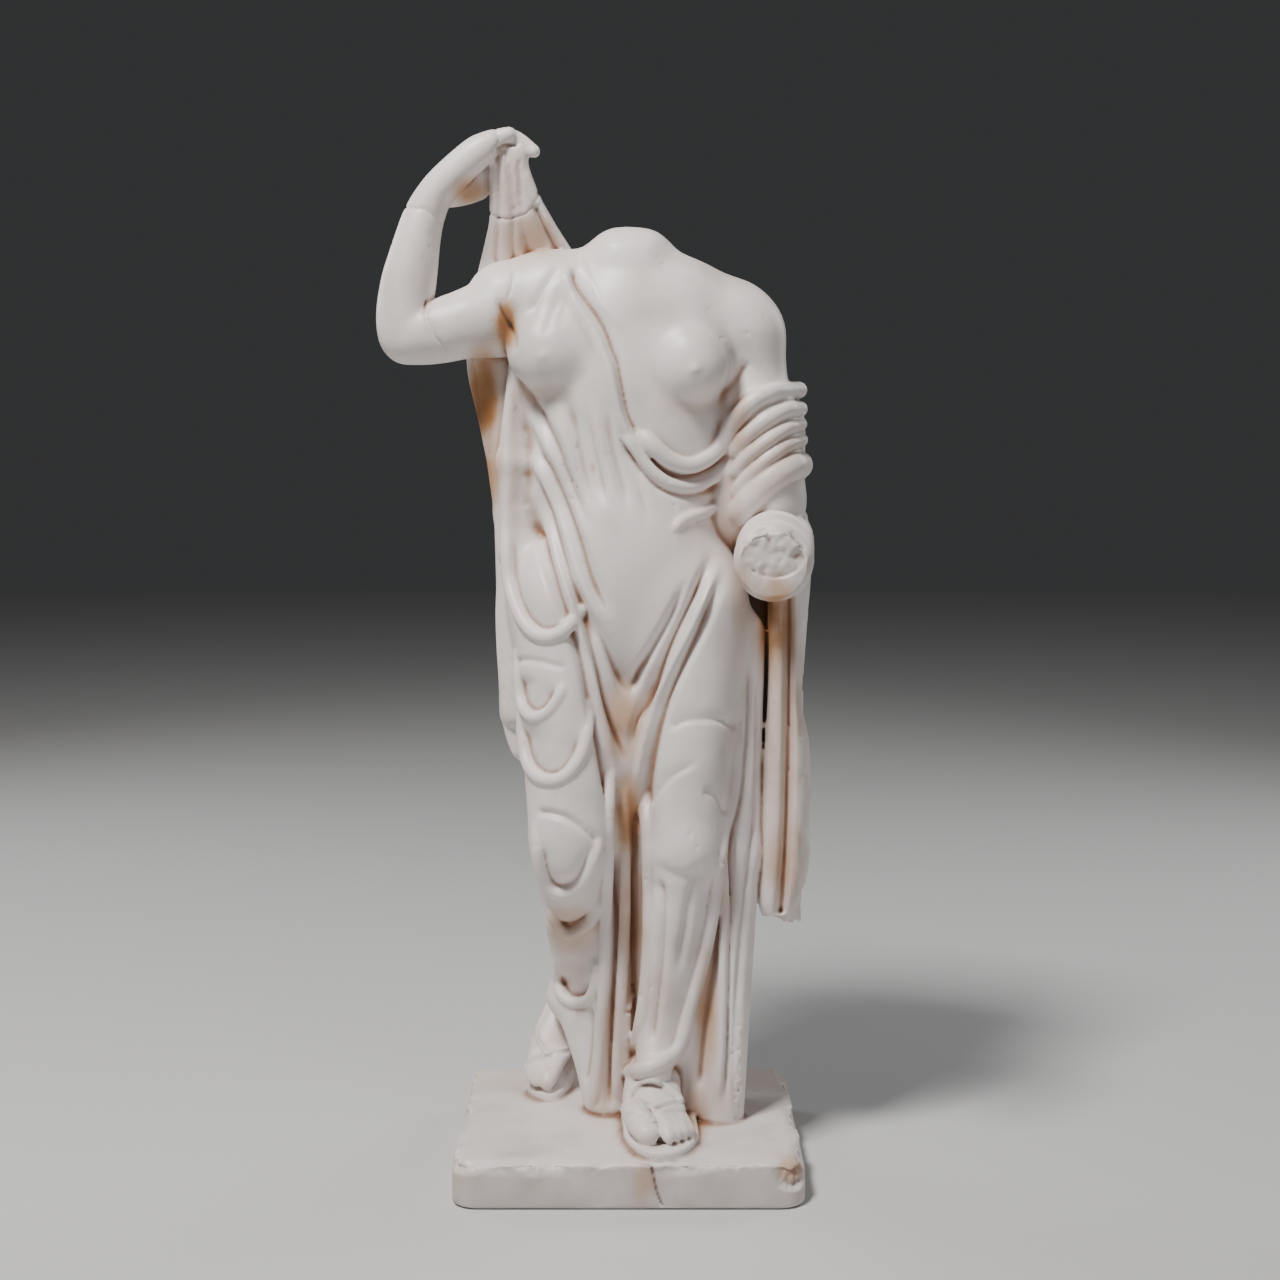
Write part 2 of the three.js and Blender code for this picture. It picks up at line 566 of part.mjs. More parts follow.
class Heap {
  items = [];

  push(item) {
    const { items } = this;
    let i = items.push(item) - 1;
    while (i > 0) {
      const parent = (i - 1) >> 1;
      if (items[parent].cost <= item.cost) break;
      items[i] = items[parent];
      i = parent;
    }
    items[i] = item;
  }

  pop() {
    const { items } = this;
    const top = items[0];
    const last = items.pop();
    if (!items.length) return top;
    let i = 0;
    for (;;) {
      let child = 2 * i + 1;
      if (child >= items.length) break;
      if (child + 1 < items.length && items[child + 1].cost < items[child].cost) child += 1;
      if (items[child].cost >= last.cost) break;
      items[i] = items[child];
      i = child;
    }
    items[i] = last;
    return top;
  }
}

const SLIVER_AREA = 1e-3;

function thinned(points, faces, wanted) {
  const terms = points.map(() => new Array(10).fill(0));
  const around = points.map(() => new Set());
  const version = new Uint32Array(points.length);
  const faceNormal = (corners) => {
    const [a, b, c] = corners;
    const u = add(b, a, -1);
    const v = add(c, a, -1);
    return [u[1] * v[2] - u[2] * v[1], u[2] * v[0] - u[0] * v[2], u[0] * v[1] - u[1] * v[0]];
  };
  faces.forEach((face, f) => {
    const normal = faceNormal(face.map((i) => points[i]));
    const area = Math.hypot(...normal) / 2;
    const direction = area > 1e-9 ? unit(normal) : [0, 0, 0];
    const plane = planeTerms(direction, -dot(direction, points[face[0]]), area);
    for (const i of face) {
      around[i].add(f);
      plane.forEach((value, k) => { terms[i][k] += value; });
    }
  });
  const neighbours = (i) => {
    const found = new Set();
    for (const f of around[i]) for (const j of faces[f]) if (j !== i) found.add(j);
    return found;
  };
  const heap = new Heap();
  const offer = (a, b) => {
    const sum = terms[a].map((value, k) => value + terms[b][k]);
    const middle = add(points[a], points[b]).map((value) => value / 2);
    const length = Math.hypot(...add(points[a], points[b], -1));
    const best = settle(sum);
    const fair = best && Math.hypot(...add(best, middle, -1)) < 2 * length ? [best] : [points[a], points[b], middle];
    const errors = fair.map((p) => planeError(sum, p));
    const least = Math.min(...errors);
    heap.push({ cost: Math.max(least, 0) + 1e-5 * length ** 3, at: fair[errors.indexOf(least)], a, b,
      stamp: version[a] + version[b] });
  };
  faces.forEach((face) => face.forEach((a, k) => { if (a < face[(k + 1) % 3]) offer(a, face[(k + 1) % 3]); }));
  let left = faces.length;
  while (left > wanted && heap.items.length) {
    const { a, b, at, stamp } = heap.pop();
    if (!around[a].size || !around[b].size || stamp !== version[a] + version[b]) continue;
    const shared = [...neighbours(a)].filter((i) => neighbours(b).has(i));
    const dying = [...around[a]].filter((f) => around[b].has(f));
    if (shared.length !== 2 || dying.length !== 2) continue;
    const moved = [...around[a], ...around[b]].filter((f) => !dying.includes(f));
    const flips = moved.some((f) => {
      const before = faceNormal(faces[f].map((i) => points[i]));
      const after = faceNormal(faces[f].map((i) => (i === a || i === b ? at : points[i])));
      const size = Math.hypot(...before);
      return size > SLIVER_AREA && dot(before, after) <= 0.3 * size * Math.hypot(...after);
    });
    if (flips) continue;
    for (const f of dying) {
      for (const i of faces[f]) around[i].delete(f);
      faces[f] = null;
    }
    for (const f of around[b]) {
      faces[f] = faces[f].map((i) => (i === b ? a : i));
      around[a].add(f);
    }
    around[b].clear();
    points[a] = at;
    terms[a] = terms[a].map((value, k) => value + terms[b][k]);
    version[a] += 1;
    left -= 2;
    for (const i of neighbours(a)) offer(a, i);
  }
  return faces.filter(Boolean);
}

const parts = [
  plinth(), figure(300, 260), raisedArm(), hand(), fan(), panel(), mantle(60, 70), stump(),
  foot({ heel: [26, 38, PLINTH_HEIGHT - 1], turn: 0.03, tip: 0, big: -1 }),
  foot({ heel: [-62, 134, PLINTH_HEIGHT + 101], turn: -0.24, tip: 0.72, big: 1 }),
];
const whole = parts.slice(1).reduce((sum, one) => sum.add(one), parts[0]);
console.log("triangles", whole.numTri(), "bodies", whole.decompose().map((b) => [b.volume() | 0, ...Object.values(b.boundingBox()).flat().map(Math.round)].join(" ")));
const biggest = whole.decompose().sort((a, b) => b.volume() - a.volume())[0];

const made = biggest.getMesh();
const points = Array.from({ length: made.numVert }, (_, i) => [...made.vertProperties.slice(3 * i, 3 * i + 3)]);
const faces = Array.from({ length: made.numTri }, (_, i) => [...made.triVerts.slice(3 * i, 3 * i + 3)]);
const kept = thinned(points, faces, TRIANGLES);
const geometry = new THREE.BufferGeometry();
geometry.setAttribute("position", new THREE.Float32BufferAttribute(kept.flat().flatMap((i) => points[i]), 3));
geometry.computeVertexNormals();

const statue = new THREE.Mesh(geometry, new THREE.MeshStandardMaterial(MARBLE));
statue.name = "statue";
const group = new THREE.Group();
group.add(statue);

export default group;
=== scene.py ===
"""Marble statue of a draped goddess on her low plinth: headless, one hand drawing up the mantle, left forearm lost.

Lengths are millimetres in the shape code and metres in the meshes. +Z is up and the viewer is on the -Y side.
"""
import math

import bpy
import numpy as np
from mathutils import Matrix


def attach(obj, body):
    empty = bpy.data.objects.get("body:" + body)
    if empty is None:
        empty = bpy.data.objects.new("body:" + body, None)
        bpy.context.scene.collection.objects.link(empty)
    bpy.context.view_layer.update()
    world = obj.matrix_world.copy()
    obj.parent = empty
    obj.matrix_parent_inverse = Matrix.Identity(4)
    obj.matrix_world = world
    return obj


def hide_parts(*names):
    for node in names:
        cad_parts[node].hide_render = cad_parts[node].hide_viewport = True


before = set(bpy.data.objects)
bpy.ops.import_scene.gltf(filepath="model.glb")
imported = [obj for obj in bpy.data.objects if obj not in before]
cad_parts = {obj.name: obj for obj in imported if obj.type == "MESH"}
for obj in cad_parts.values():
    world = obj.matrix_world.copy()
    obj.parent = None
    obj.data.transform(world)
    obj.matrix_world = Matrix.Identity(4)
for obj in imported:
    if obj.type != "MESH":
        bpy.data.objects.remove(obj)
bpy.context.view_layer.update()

# The front view: an eye 1.94 m in front of the plinth's middle, looking down a little
MM = 0.001
EYE = np.array([11.0, -1940.8, 718.4])
PICTURE_AT = 1950.0
PICTURE_WIDTH = 1280.0
LOOK_DOWN = math.atan(190 / PICTURE_AT)
MIDDLE_X, MIDDLE_Z = 11.0, 513.0
COS, SIN = math.cos(LOOK_DOWN), math.sin(LOOK_DOWN)

# The plinth
PLINTH_WIDTH, PLINTH_DEPTH, PLINTH_HEIGHT = 340.0, 300.0, 45.0
PLINTH_CORNER, PLINTH_EDGE = 24.0, 2.5

# How finely the marble is worked
GRAIN = 1.5
TRIANGLES = 196000


def place(x, z, depth):
    """Real point of a place in the front view: the eye's ray through it, followed to the depth."""
    x, z, depth = np.broadcast_arrays(*(np.asarray(value, float) for value in (x, z, depth)))
    slope = (z - MIDDLE_Z) / PICTURE_AT
    away = depth - EYE[1]
    rise = away * (slope * COS - SIN) / (COS + slope * SIN)
    reach = away * COS - rise * SIN
    return np.stack([EYE[0] + (x - MIDDLE_X) * reach / PICTURE_AT, depth, EYE[2] + rise], -1)


def seen(points):
    """Place in the front view of real points: what is across and what is up, over what is away."""
    off = points - EYE
    reach = off[..., 1] * COS - off[..., 2] * SIN
    up = off[..., 1] * SIN + off[..., 2] * COS
    return np.stack([MIDDLE_X + PICTURE_AT * off[..., 0] / reach, MIDDLE_Z + PICTURE_AT * up / reach], -1)


def smooth(start, end, value):
    """0 before start, 1 after end, and a soft step between them."""
    t = np.clip((value - start) / (end - start), 0, 1)
    return t * t * (3 - 2 * t)


def mix(a, b, t):
    return a + (b - a) * t


def unit(vectors):
    return vectors / np.maximum(np.linalg.norm(vectors, axis=-1, keepdims=True), 1e-9)


def noise(points, size, seed=0):
    """Soft random field from -1 to 1: random values on a lattice of this size, eased between its corners."""
    cell = np.floor(points / size)
    t = points / size - cell
    t = t * t * (3 - 2 * t)
    cell = cell.astype(np.int64)
    total = np.zeros(points.shape[:-1])
    for corner in np.ndindex(2, 2, 2):
        key = (cell + corner) @ np.array([73856093, 19349663, 83492791]) + seed * 1442695
        key = (key ^ (key >> 13)) * 1274126177 & 0x7FFFFFFF
        value = ((key ^ (key >> 16)) & 0xFFFF) / 32767.5 - 1
        total += value * np.prod(np.where(corner, t, 1 - t), axis=-1)
    return total


def rough(points, size, seed=0):
    """Three sizes of the soft field on top of each other, each half as large and half as strong."""
    return sum(noise(points, size / 2 ** k, seed + k) / 2 ** k for k in range(3)) / 1.75


# Masses melt into each other and give the distance from their joint surface, below zero inside
def ball(x, z, depth, radii, melt=18):
    """Egg shape: its points are where the offsets over the radii have length one."""
    centre, radii = place(x, z, depth), np.array(radii, float)

    def distance(p):
        off = (p - centre) / radii
        size = np.linalg.norm(off, axis=-1)
        return size * (size - 1) / np.maximum(np.linalg.norm(off / radii, axis=-1), 1e-9)

    return distance, melt, centre, radii.max()


def limb(start, start_radius, end, end_radius, melt=18, depth_scale=1.0):
    """Tapering rod between two places: the distance from its line, less a radius that changes along it."""
    a = place(*start)
    along = place(*end) - a
    length2 = along @ along

    def distance(p):
        off = p - a
        t = np.clip(off @ along / length2, 0, 1)
        side = off - along * t[..., None]
        side[..., 1] /= depth_scale
        return np.linalg.norm(side, axis=-1) - mix(start_radius, end_radius, t)

    hold = math.sqrt(length2) / 2 + max(start_radius, end_radius)
    return distance, melt, a + along / 2, hold


def melted(masses):
    """One body of several masses: the nearest distance, rounded off where two are nearly equal."""
    def body(p):
        nearest = np.full(len(p), 1e6)
        for distance, melt, middle, hold in masses:
            apart = np.linalg.norm(p - middle, axis=-1) - hold
            near = np.nonzero(apart <= nearest + melt)[0]
            if not len(near):
                continue
            old, new = nearest[near], distance(p[near])
            share = np.maximum(melt - np.abs(old - new), 0) / melt
            nearest[near] = np.minimum(old, new) - share * share * melt / 4
        return nearest

    return body


def ray_ends(body, start, direction, reach):
    """Distance along each ray to where it leaves the body, found by stepping in from outside."""
    r = np.full(len(start), float(reach))
    live = np.arange(len(start))
    for _ in range(48):
        gap = body(start[live] + direction[live] * r[live, None])
        r[live] = np.clip(r[live] - 0.65 * gap, 1.0, reach)
        live = live[(np.abs(gap) > 0.04) & ((gap > 0) | (r[live] < reach))]
        if not len(live):
            break
    return r


# Closed meshes as (points, triangles)
def closed_grid(rings):
    """Rings of points, joined ring to ring, with a fan of triangles to the middle of each end ring."""
    count, around = rings.shape[:2]
    points = np.concatenate([rings.reshape(-1, 3), rings[[0, -1]].mean(1)])
    here = np.arange(count * around).reshape(count, around)
    there = np.roll(here, -1, 1)
    a, b, c, d = here[:-1], there[:-1], there[1:], here[1:]
    first, last = len(points) - 2, len(points) - 1
    ends = np.full(around, first), np.full(around, last)
    faces = [np.stack([a, b, c], -1), np.stack([a, c, d], -1),
             np.stack([ends[0], there[0], here[0]], -1), np.stack([ends[1], here[-1], there[-1]], -1)]
    triangles = np.concatenate([f.reshape(-1, 3) for f in faces])
    corners = points[triangles]
    volume = np.einsum("ij,ij->i", corners[:, 0], np.cross(corners[:, 1], corners[:, 2])).sum()
    return points, triangles if volume > 0 else triangles[:, ::-1]


def blurred(grid, rounds):
    """Softens a grid of points along both of its ways; the second way runs round and closes on itself."""
    for _ in range(rounds):
        grid = (np.roll(grid, 1, 1) + 2 * grid + np.roll(grid, -1, 1)) / 4
        padded = np.concatenate([grid[:1], grid, grid[-1:]])
        grid = (padded[:-2] + 2 * grid + padded[2:]) / 4
    return grid


def grid_normals(grid, directions):
    """Directions at right angles to a grid that closes round, on the side of its rays."""
    around_step = np.roll(grid, -1, 1) - np.roll(grid, 1, 1)
    normal = unit(np.cross(around_step, np.gradient(grid, axis=0)))
    return normal * np.where((normal * directions).sum(-1, keepdims=True) < 0, -1, 1)


def skin(body, starts, directions, reach, relief=None):
    """Rays from the stations of an axis to the body's surface, softened, then lifted by the relief along it."""
    shape = directions.shape
    start = np.broadcast_to(starts[:, None], shape).reshape(-1, 3)
    direction = directions.reshape(-1, 3)
    grid = (start + direction * ray_ends(body, start, direction, reach)[:, None]).reshape(shape)
    if relief:
        grid = blurred(grid, 3)
        normal = unit(blurred(grid_normals(grid, directions), 8))
        lift = relief(grid.reshape(-1, 3), normal.reshape(-1, 3)).reshape(shape[:2])
        grid = blurred(grid + normal * lift[..., None], 1)
    return closed_grid(grid)


def smooth_line(points, per_span=6):
    """Curve through a few points: each span is the cubic that its four nearest points give."""
    points = np.asarray(points, float)
    ends = np.concatenate([2 * points[:1] - points[1:2], points, 2 * points[-1:] - points[-2:-1]])
    t = (np.arange(per_span) / per_span)[:, None]
    p0, p1, p2, p3 = (ends[None, k:len(ends) - 3 + k] for k in range(4))
    t = t[:, None]
    curve = 0.5 * (2 * p1 + (p2 - p0) * t + (2 * p0 - 5 * p1 + 4 * p2 - p3) * t ** 2
                   + (3 * p1 - p0 - 3 * p2 + p3) * t ** 3)
    return np.concatenate([curve.transpose(1, 0, 2).reshape(-1, points.shape[1]), points[-1:]])


def frames_along(path):
    """Side and front directions at right angles to a path, with the front kept towards the viewer."""
    tangent = unit(np.gradient(path, axis=0))
    side = unit(np.cross(np.array([0.0, -1.0, 0.0]), tangent))
    return side, np.cross(tangent, side)


def around(side, front, spokes):
    """Directions all round a path, one row for each of its points."""
    angle = np.linspace(0, 2 * np.pi, spokes, endpoint=False)
    return side[:, None] * np.cos(angle)[None, :, None] + front[:, None] * np.sin(angle)[None, :, None]


def along_path(places, per_span, spokes):
    path = smooth_line([place(*p) for p in places], per_span)
    return path, around(*frames_along(path), spokes)


def tube(path, radius, spokes=14, flat=1.0):
    """Round cord along a path, its radius easing to nothing at both ends."""
    path = np.asarray(path, float)
    t = np.linspace(0, 1, len(path))
    ends = np.sqrt(np.clip(np.minimum(t, 1 - t) * (len(path) - 1) / 3, 0.02, 1))
    tangent = unit(np.gradient(path, axis=0))
    side = unit(np.cross(tangent, np.array([0.31, 0.23, 0.92])))
    rays = around(side, np.cross(tangent, side) * flat, spokes)
    return closed_grid(path[:, None] + rays * (radius * ends)[:, None, None])


# Folds: lines of the front view that stand out of the surface or are cut into it
def fold(half, height, points, fade=0.12, hollow=(0, 0), soft=False):
    """Half its width, its height (below zero for a groove), its line, the share of it that fades at each end,
    the width and depth of a soft hollow on the left of its way (width below zero: on the right), and whether
    a groove is round at the bottom."""
    return half, height, smooth_line(points), fade, hollow, soft or height > 0


def folds_height(folds, xz):
    """Height of all folds at places of the front view. Across a fold, a ridge is a round hump, a groove is
    a sharp valley between round shoulders, and a hollow sinks slowly away from the line on one side."""
    total = np.zeros(len(xz))
    for half, height, line, fade, (width, depth), soft in folds:
        reach = max(half, abs(width))
        inside = np.nonzero(((xz > line.min(0) - reach) & (xz < line.max(0) + reach)).all(1))[0]
        if not len(inside):
            continue
        start, span = line[:-1], np.diff(line, axis=0)
        off = xz[inside, None] - start
        t = np.clip((off * span).sum(-1) / (span * span).sum(-1), 0, 1)
        away = np.linalg.norm(off - span * t[..., None], axis=-1)
        nearest = away.argmin(1)
        rows = np.arange(len(inside))
        away = away[rows, nearest]
        across = np.clip(away / half, 0, 1)
        share = (nearest + t[rows, nearest]) / len(span)
        taper = smooth(0, fade, share) * smooth(0, fade, 1 - share) if fade else 1
        shape = height * ((1 - across ** 2) ** 1.5 if soft else (1 - across) ** 1.4)
        if width:
            side = span[nearest, 0] * off[rows, nearest, 1] - span[nearest, 1] * off[rows, nearest, 0]
            sink = np.clip(1 - away / abs(width), 0, 1)
            sink = sink * sink * (3 - 2 * sink) * smooth(0, half, away)
            shape = shape - depth * sink * (side * width > 0)
        total[inside] += taper * shape
    return total


def bumps_height(bumps, xz):
    """Round swellings at [x, z, radius, height]."""
    total = np.zeros(len(xz))
    for x, z, radius, height in bumps:
        across = np.clip(np.hypot(xz[:, 0] - x, xz[:, 1] - z) / radius, 0, 1)
        total += height * (1 - across ** 2) ** 2
    return total


# The figure's masses: [x, z, depth] in the front view, then radii
SHOULDER_STUB = limb([-85, 855, 0], 42, [-122, 850, -4], 41)
FIGURE = [
    ball(3, 775, 2, [98, 66, 115]),
    ball(8, 846, 4, [103, 52, 48], 30),
    limb([-12, 896, 2], 24, [17, 895, 2], 24, 12, 1.6),
    limb([0, 850, 6], 46, [1, 882, 2], 32, 30),
    limb([-30, 878, 6], 22, [-85, 866, 4], 30, 24),
    SHOULDER_STUB,
    limb([30, 876, 6], 20, [96, 836, 4], 32, 24),
    ball(112, 820, 4, [41, 42, 46], 20),
    limb([116, 815, 4], 38, [138, 640, 2], 33, 12),
    limb([128, 735, -6], 38, [138, 655, -6], 38, 16),
    ball(63, 786, -42, [35, 34, 35], 10),
    limb([58, 800, -30], 33, [48, 850, -8], 30, 26),
    ball(-80, 799, -32, [37, 34, 35], 16),
    limb([-78, 808, -24], 34, [-70, 858, -6], 30, 26),
    ball(-6, 690, 0, [100, 58, 90], 30),
    ball(0, 610, -18, [75, 52, 75], 30),
    ball(-4, 556, 2, [114, 66, 95], 30),
    limb([62, 545, -14], 56, [56, 318, -38], 38, 24),
    ball(55, 305, -44, [30, 30, 34]),
    limb([55, 290, -40], 31, [30, 120, -26], 20),
    limb([30, 120, -26], 20, [24, 82, -50], 19),
    limb([80, 330, -6], 30, [66, 60, -8], 26, 24),
    limb([-58, 545, -12], 58, [-57, 330, -50], 43, 24),
    ball(-56, 312, -52, [34, 34, 36]),
    limb([-58, 300, -46], 38, [-50, 150, 78], 20, 14),
    ball(-58, 158, 62, [26, 34, 26], 10),
    limb([-50, 150, 40], 24, [-22, 48, 5], 18, 12),
    limb([-5, 430, -22], 34, [-16, 60, 10], 26, 20),
    limb([112, 520, 0], 24, [106, 300, -4], 25, 14),
    limb([106, 300, -4], 25, [91, 36, -18], 24, 14),
    limb([-108, 790, -5], 12, [-119, 690, -5], 13, 8),
    limb([-119, 690, -5], 13, [-116, 600, -6], 13, 10),
    limb([-116, 600, -6], 13, [-100, 545, -20], 16, 12),
    limb([-134, 800, 26], 24, [-117, 640, 24], 18, 6),
    limb([-117, 640, 24], 18, [-112, 440, 24], 18, 6),
    limb([0, 560, 16], 96, [34, 40, 38], 66, 24, 0.62),
]

# Grooves from the armpit down to the point of the V, and the two sides of the V
TORSO = [
    fold(10, -9, [[-100, 765], [-93, 745], [-86, 730], [-73, 705], [-62, 675], [-50, 645], [-35, 615]], 0.25),
    fold(11, -11, [[-105, 750], [-95, 705], [-80, 680], [-66, 648], [-53, 615], [-42, 585], [-30, 558], [-15, 530]], 0.2),
    fold(10, -10, [[-103, 690], [-95, 667], [-83, 640], [-70, 603], [-57, 570], [-48, 552], [-40, 536], [-30, 520],
                   [-20, 502], [-12, 485], [-6, 472], [0, 456]], 0.12),
    fold(9, -13, [[-60, 580], [-50, 552], [-37, 512], [-25, 475], [-15, 435], [-8, 410], [-3, 386]], 0.25),
    fold(10, -12, [[-112, 790], [-108, 740], [-105, 700], [-105, 660], [-100, 640], [-88, 608], [-75, 572],
                   [-60, 530], [-45, 487], [-37, 450], [-26, 400], [-18, 360], [-17, 330]], 0.1),
    fold(10, -7, [[-66, 764], [-57, 735], [-50, 705], [-42, 665], [-37, 635]], 0.3, soft=True),
    fold(9, -6.5, [[-47, 760], [-38, 710], [-30, 675], [-23, 640]], 0.3, soft=True),
    fold(9, -5.5, [[-28, 760], [-18, 710], [-8, 675], [6, 630]], 0.3, soft=True),
    fold(9, -4.5, [[-10, 735], [-2, 700], [10, 660], [24, 618]], 0.3, soft=True),
    fold(9, -10, [[-1, 456], [5, 470], [10, 482], [25, 508], [38, 530], [50, 554], [60, 580]], 0.25),
    fold(10, -14, [[-3, 386], [8, 425], [17, 455], [28, 482], [40, 508], [62, 550], [76, 580], [86, 606]], 0.25),
    fold(9, -11, [[11, 320], [15, 350], [22, 399], [32, 440], [42, 465], [53, 487], [77, 534], [98, 590]], 0.15),
    fold(6, 3.5, [[6, 360], [13, 399], [23, 440], [33, 465], [44, 487], [68, 536], [88, 590]], 0.12),
]
# Loops of cloth across the relaxed leg: the hollow inside each, and the fine creases
LOOPS = [
    fold(6, 0, [[-127, 620], [-125, 585], [-117, 552], [-106, 530], [-96, 520], [-84, 516], [-72, 519], [-58, 528]], 0.1, (28, 5)),
    fold(5, -4, [[-117, 491], [-105, 493], [-88, 491], [-60, 484]]),
    fold(5, 0, [[-114, 480], [-113, 465], [-108, 446], [-98, 436], [-85, 438], [-74, 450], [-65, 470]], 0.15, (34, 6)),
    fold(5, 0, [[-112, 430], [-109, 412], [-103, 386], [-90, 374], [-76, 373], [-62, 379], [-47, 399], [-41, 428]], 0.15, (42, 6)),
    fold(6, -6, [[-95, 341], [-80, 340], [-62, 335], [-46, 325], [-34, 314], [-24, 298]], 0.12, (-14, -1.5)),
    fold(6, 0, [[-95, 312], [-93, 290], [-82, 265], [-65, 259], [-50, 265], [-36, 285], [-31, 307]], 0.15, (22, 5)),
    fold(8, -8, [[-88, 252], [-84, 240], [-75, 230], [-62, 225], [-45, 231], [-30, 246]], 0.2),
    fold(5, 0, [[-78, 182], [-74, 164], [-66, 153], [-55, 149], [-44, 151], [-35, 160], [-30, 172]], 0.15, (22, 7)),
]
# Long folds between the legs and beside them
SKIRT = [
    fold(7, -12, [[-18, 330], [-13, 250], [-14, 200], [-17, 150], [-20, 90], [-20, 35]]),
    fold(7, -12, [[6, 360], [6, 250], [5, 200], [4, 150], [0, 95]]),
    fold(5, -6, [[-28, 160], [-29, 100], [-32, 60], [-33, 45]]),
    fold(5, -5, [[-38, 150], [-40, 100], [-44, 70]]),
    fold(7, -6, [[30, 275], [34, 250], [33, 200], [28, 150], [22, 105]]),
    fold(10, -9, [[94, 250], [88, 200], [79, 150], [74, 110], [68, 60]], 0.1),
    fold(6, -8, [[121, 500], [121, 440], [114, 360], [103, 300], [99, 200], [99, 110], [96, 30]]),
    fold(5, -6, [[130, 480], [130, 440], [129, 380], [125, 320], [117, 260], [110, 180], [106, 100], [105, 30]]),
    fold(4.5, -4.5, [[36, 421], [55, 431], [75, 433], [90, 432], [113, 422]], 0.12, (16, 2)),
    fold(4.5, -4.5, [[20, 347], [26, 358], [43, 376], [70, 391]], 0.15, (16, 2)),
    fold(4.5, -4, [[73, 361], [84, 358], [92, 350], [97, 334]], 0.15, (12, 1.5)),
    fold(11, -3.5, [[22, 298], [32, 284], [45, 277], [60, 276], [72, 284], [84, 297]], 0.3),
    fold(8, -5, [[80, 285], [66, 268], [60, 250], [57, 225], [52, 200], [48, 170]], 0.2),
]
# Neckline and the modelling of the chest
CHEST = [
    fold(6, -8, [[-57, 887], [-53, 870], [-45, 855], [-35, 840], [-25, 823], [-18, 805], [-12, 790], [-7, 765],
                 [-2, 742], [5, 725], [13, 710], [22, 699]], 0.05),
    fold(7, 4, [[-64, 885], [-60, 866], [-52, 848], [-42, 833], [-33, 818], [-26, 801], [-20, 786], [-15, 764],
                [-10, 742], [-3, 722], [10, 698]], 0.05),
    fold(6, -8, [[8, 716], [16, 702], [25, 692], [37, 682], [50, 677], [62, 677], [75, 681], [90, 692], [100, 706]], 0.1),
    fold(6, -5, [[-5, 712], [8, 690], [24, 670], [38, 662], [52, 658], [67, 658], [80, 662], [94, 674]], 0.1),
    fold(3, 1.8, [[-47, 905], [-46, 890], [-42, 878], [-35, 865], [-28, 850], [-15, 835], [-5, 815]]),
    fold(7, -7, [[118, 792], [112, 780], [105, 768], [97, 757], [97, 735]]),
    fold(7, -3, [[-66, 893], [-80, 872], [-92, 852], [-100, 835]], 0.25),
    fold(6, -2.4, [[-64, 872], [-72, 850], [-80, 830], [-85, 815]], 0.25),
    fold(6, -2, [[-58, 868], [-65, 845], [-70, 822]], 0.25),
]
NIPPLES = [[66, 784, 7, 3], [-86, 797, 7, 2]]
FRONT_FOLDS = [*TORSO, *LOOPS, *SKIRT, *CHEST]
# Rolls of cloth lying on the figure: radius, how far they stand out, and their line in the front view
ROLLS = [
    (8.5, 9, [[6, 735], [14, 718], [28, 703], [42, 692], [58, 687], [74, 692], [88, 703], [97, 716], [103, 728],
              [112, 740], [122, 750], [135, 758], [152, 762], [170, 763]]),
    (6, 5, [[-6, 728], [0, 714], [12, 696], [22, 683], [36, 672], [50, 667], [63, 666], [78, 671], [92, 682],
            [101, 697]]),
    (6, 4, [[101, 696], [99, 680], [93, 657], [82, 645], [64, 637], [50, 631], [38, 612]]),
    (8, 5, [[102, 694], [110, 708], [122, 721], [140, 735], [156, 743], [171, 744]]),
    (6.5, 6, [[102, 672], [110, 687], [124, 701], [142, 715], [158, 725], [172, 729]]),
    (6.5, 6, [[103, 652], [112, 668], [125, 682], [142, 697], [158, 708], [173, 713]]),
    (14, 8, [[108, 632], [116, 648], [128, 662], [144, 676], [160, 686], [170, 688]]),
    (7, 5.5, [[-122, 660], [-122, 600], [-120, 572], [-114, 550], [-105, 531], [-95, 520], [-84, 516], [-72, 518],
              [-60, 527], [-50, 542]]),
    (6, 3.5, [[-110, 500], [-110, 470], [-107, 447], [-98, 436], [-86, 437], [-76, 446], [-68, 460], [-62, 480]]),
    (6.5, 4.5, [[-107, 446], [-106, 412], [-101, 388], [-90, 375], [-76, 372], [-62, 378], [-49, 395], [-42, 418],
                [-42, 450]]),
    (7, 6, [[-90, 344], [-91, 306], [-88, 282], [-79, 265], [-65, 259], [-51, 265], [-40, 279], [-34, 298],
            [-30, 330]]),
    (6, 4, [[-80, 250], [-73, 228], [-60, 219], [-45, 226], [-34, 240], [-29, 262]]),
    (6, 5, [[-70, 196], [-72, 170], [-65, 155], [-55, 150], [-43, 152], [-36, 161], [-32, 178], [-30, 206]]),
    (8, 7, [[93, 335], [91, 300], [87, 268], [82, 236], [76, 205], [69, 175], [61, 148], [54, 122], [46, 102],
            [34, 92], [18, 85], [2, 80], [-8, 74]]),
    (6, 5, [[-18, 400], [-20, 330], [-22, 250], [-24, 190], [-27, 130], [-33, 70], [-34, 36]]),
    (6, 5, [[-3, 400], [-5, 330], [-4, 250], [-6, 190], [-9, 130], [-12, 80], [-10, 30]]),
    (8, 5, [[16, 360], [20, 310], [21, 250], [20, 200], [16, 150], [6, 96]]),
    (5, 4, [[-1, 160], [-3, 120], [-4, 90], [-4, 36]]),
    (5, 3, [[92, 320], [96, 250], [94, 200], [92, 110], [86, 20]]),
]
BACK_FOLD_WIDTH, BACK_FOLD_HEIGHT = 30.0, 4.0


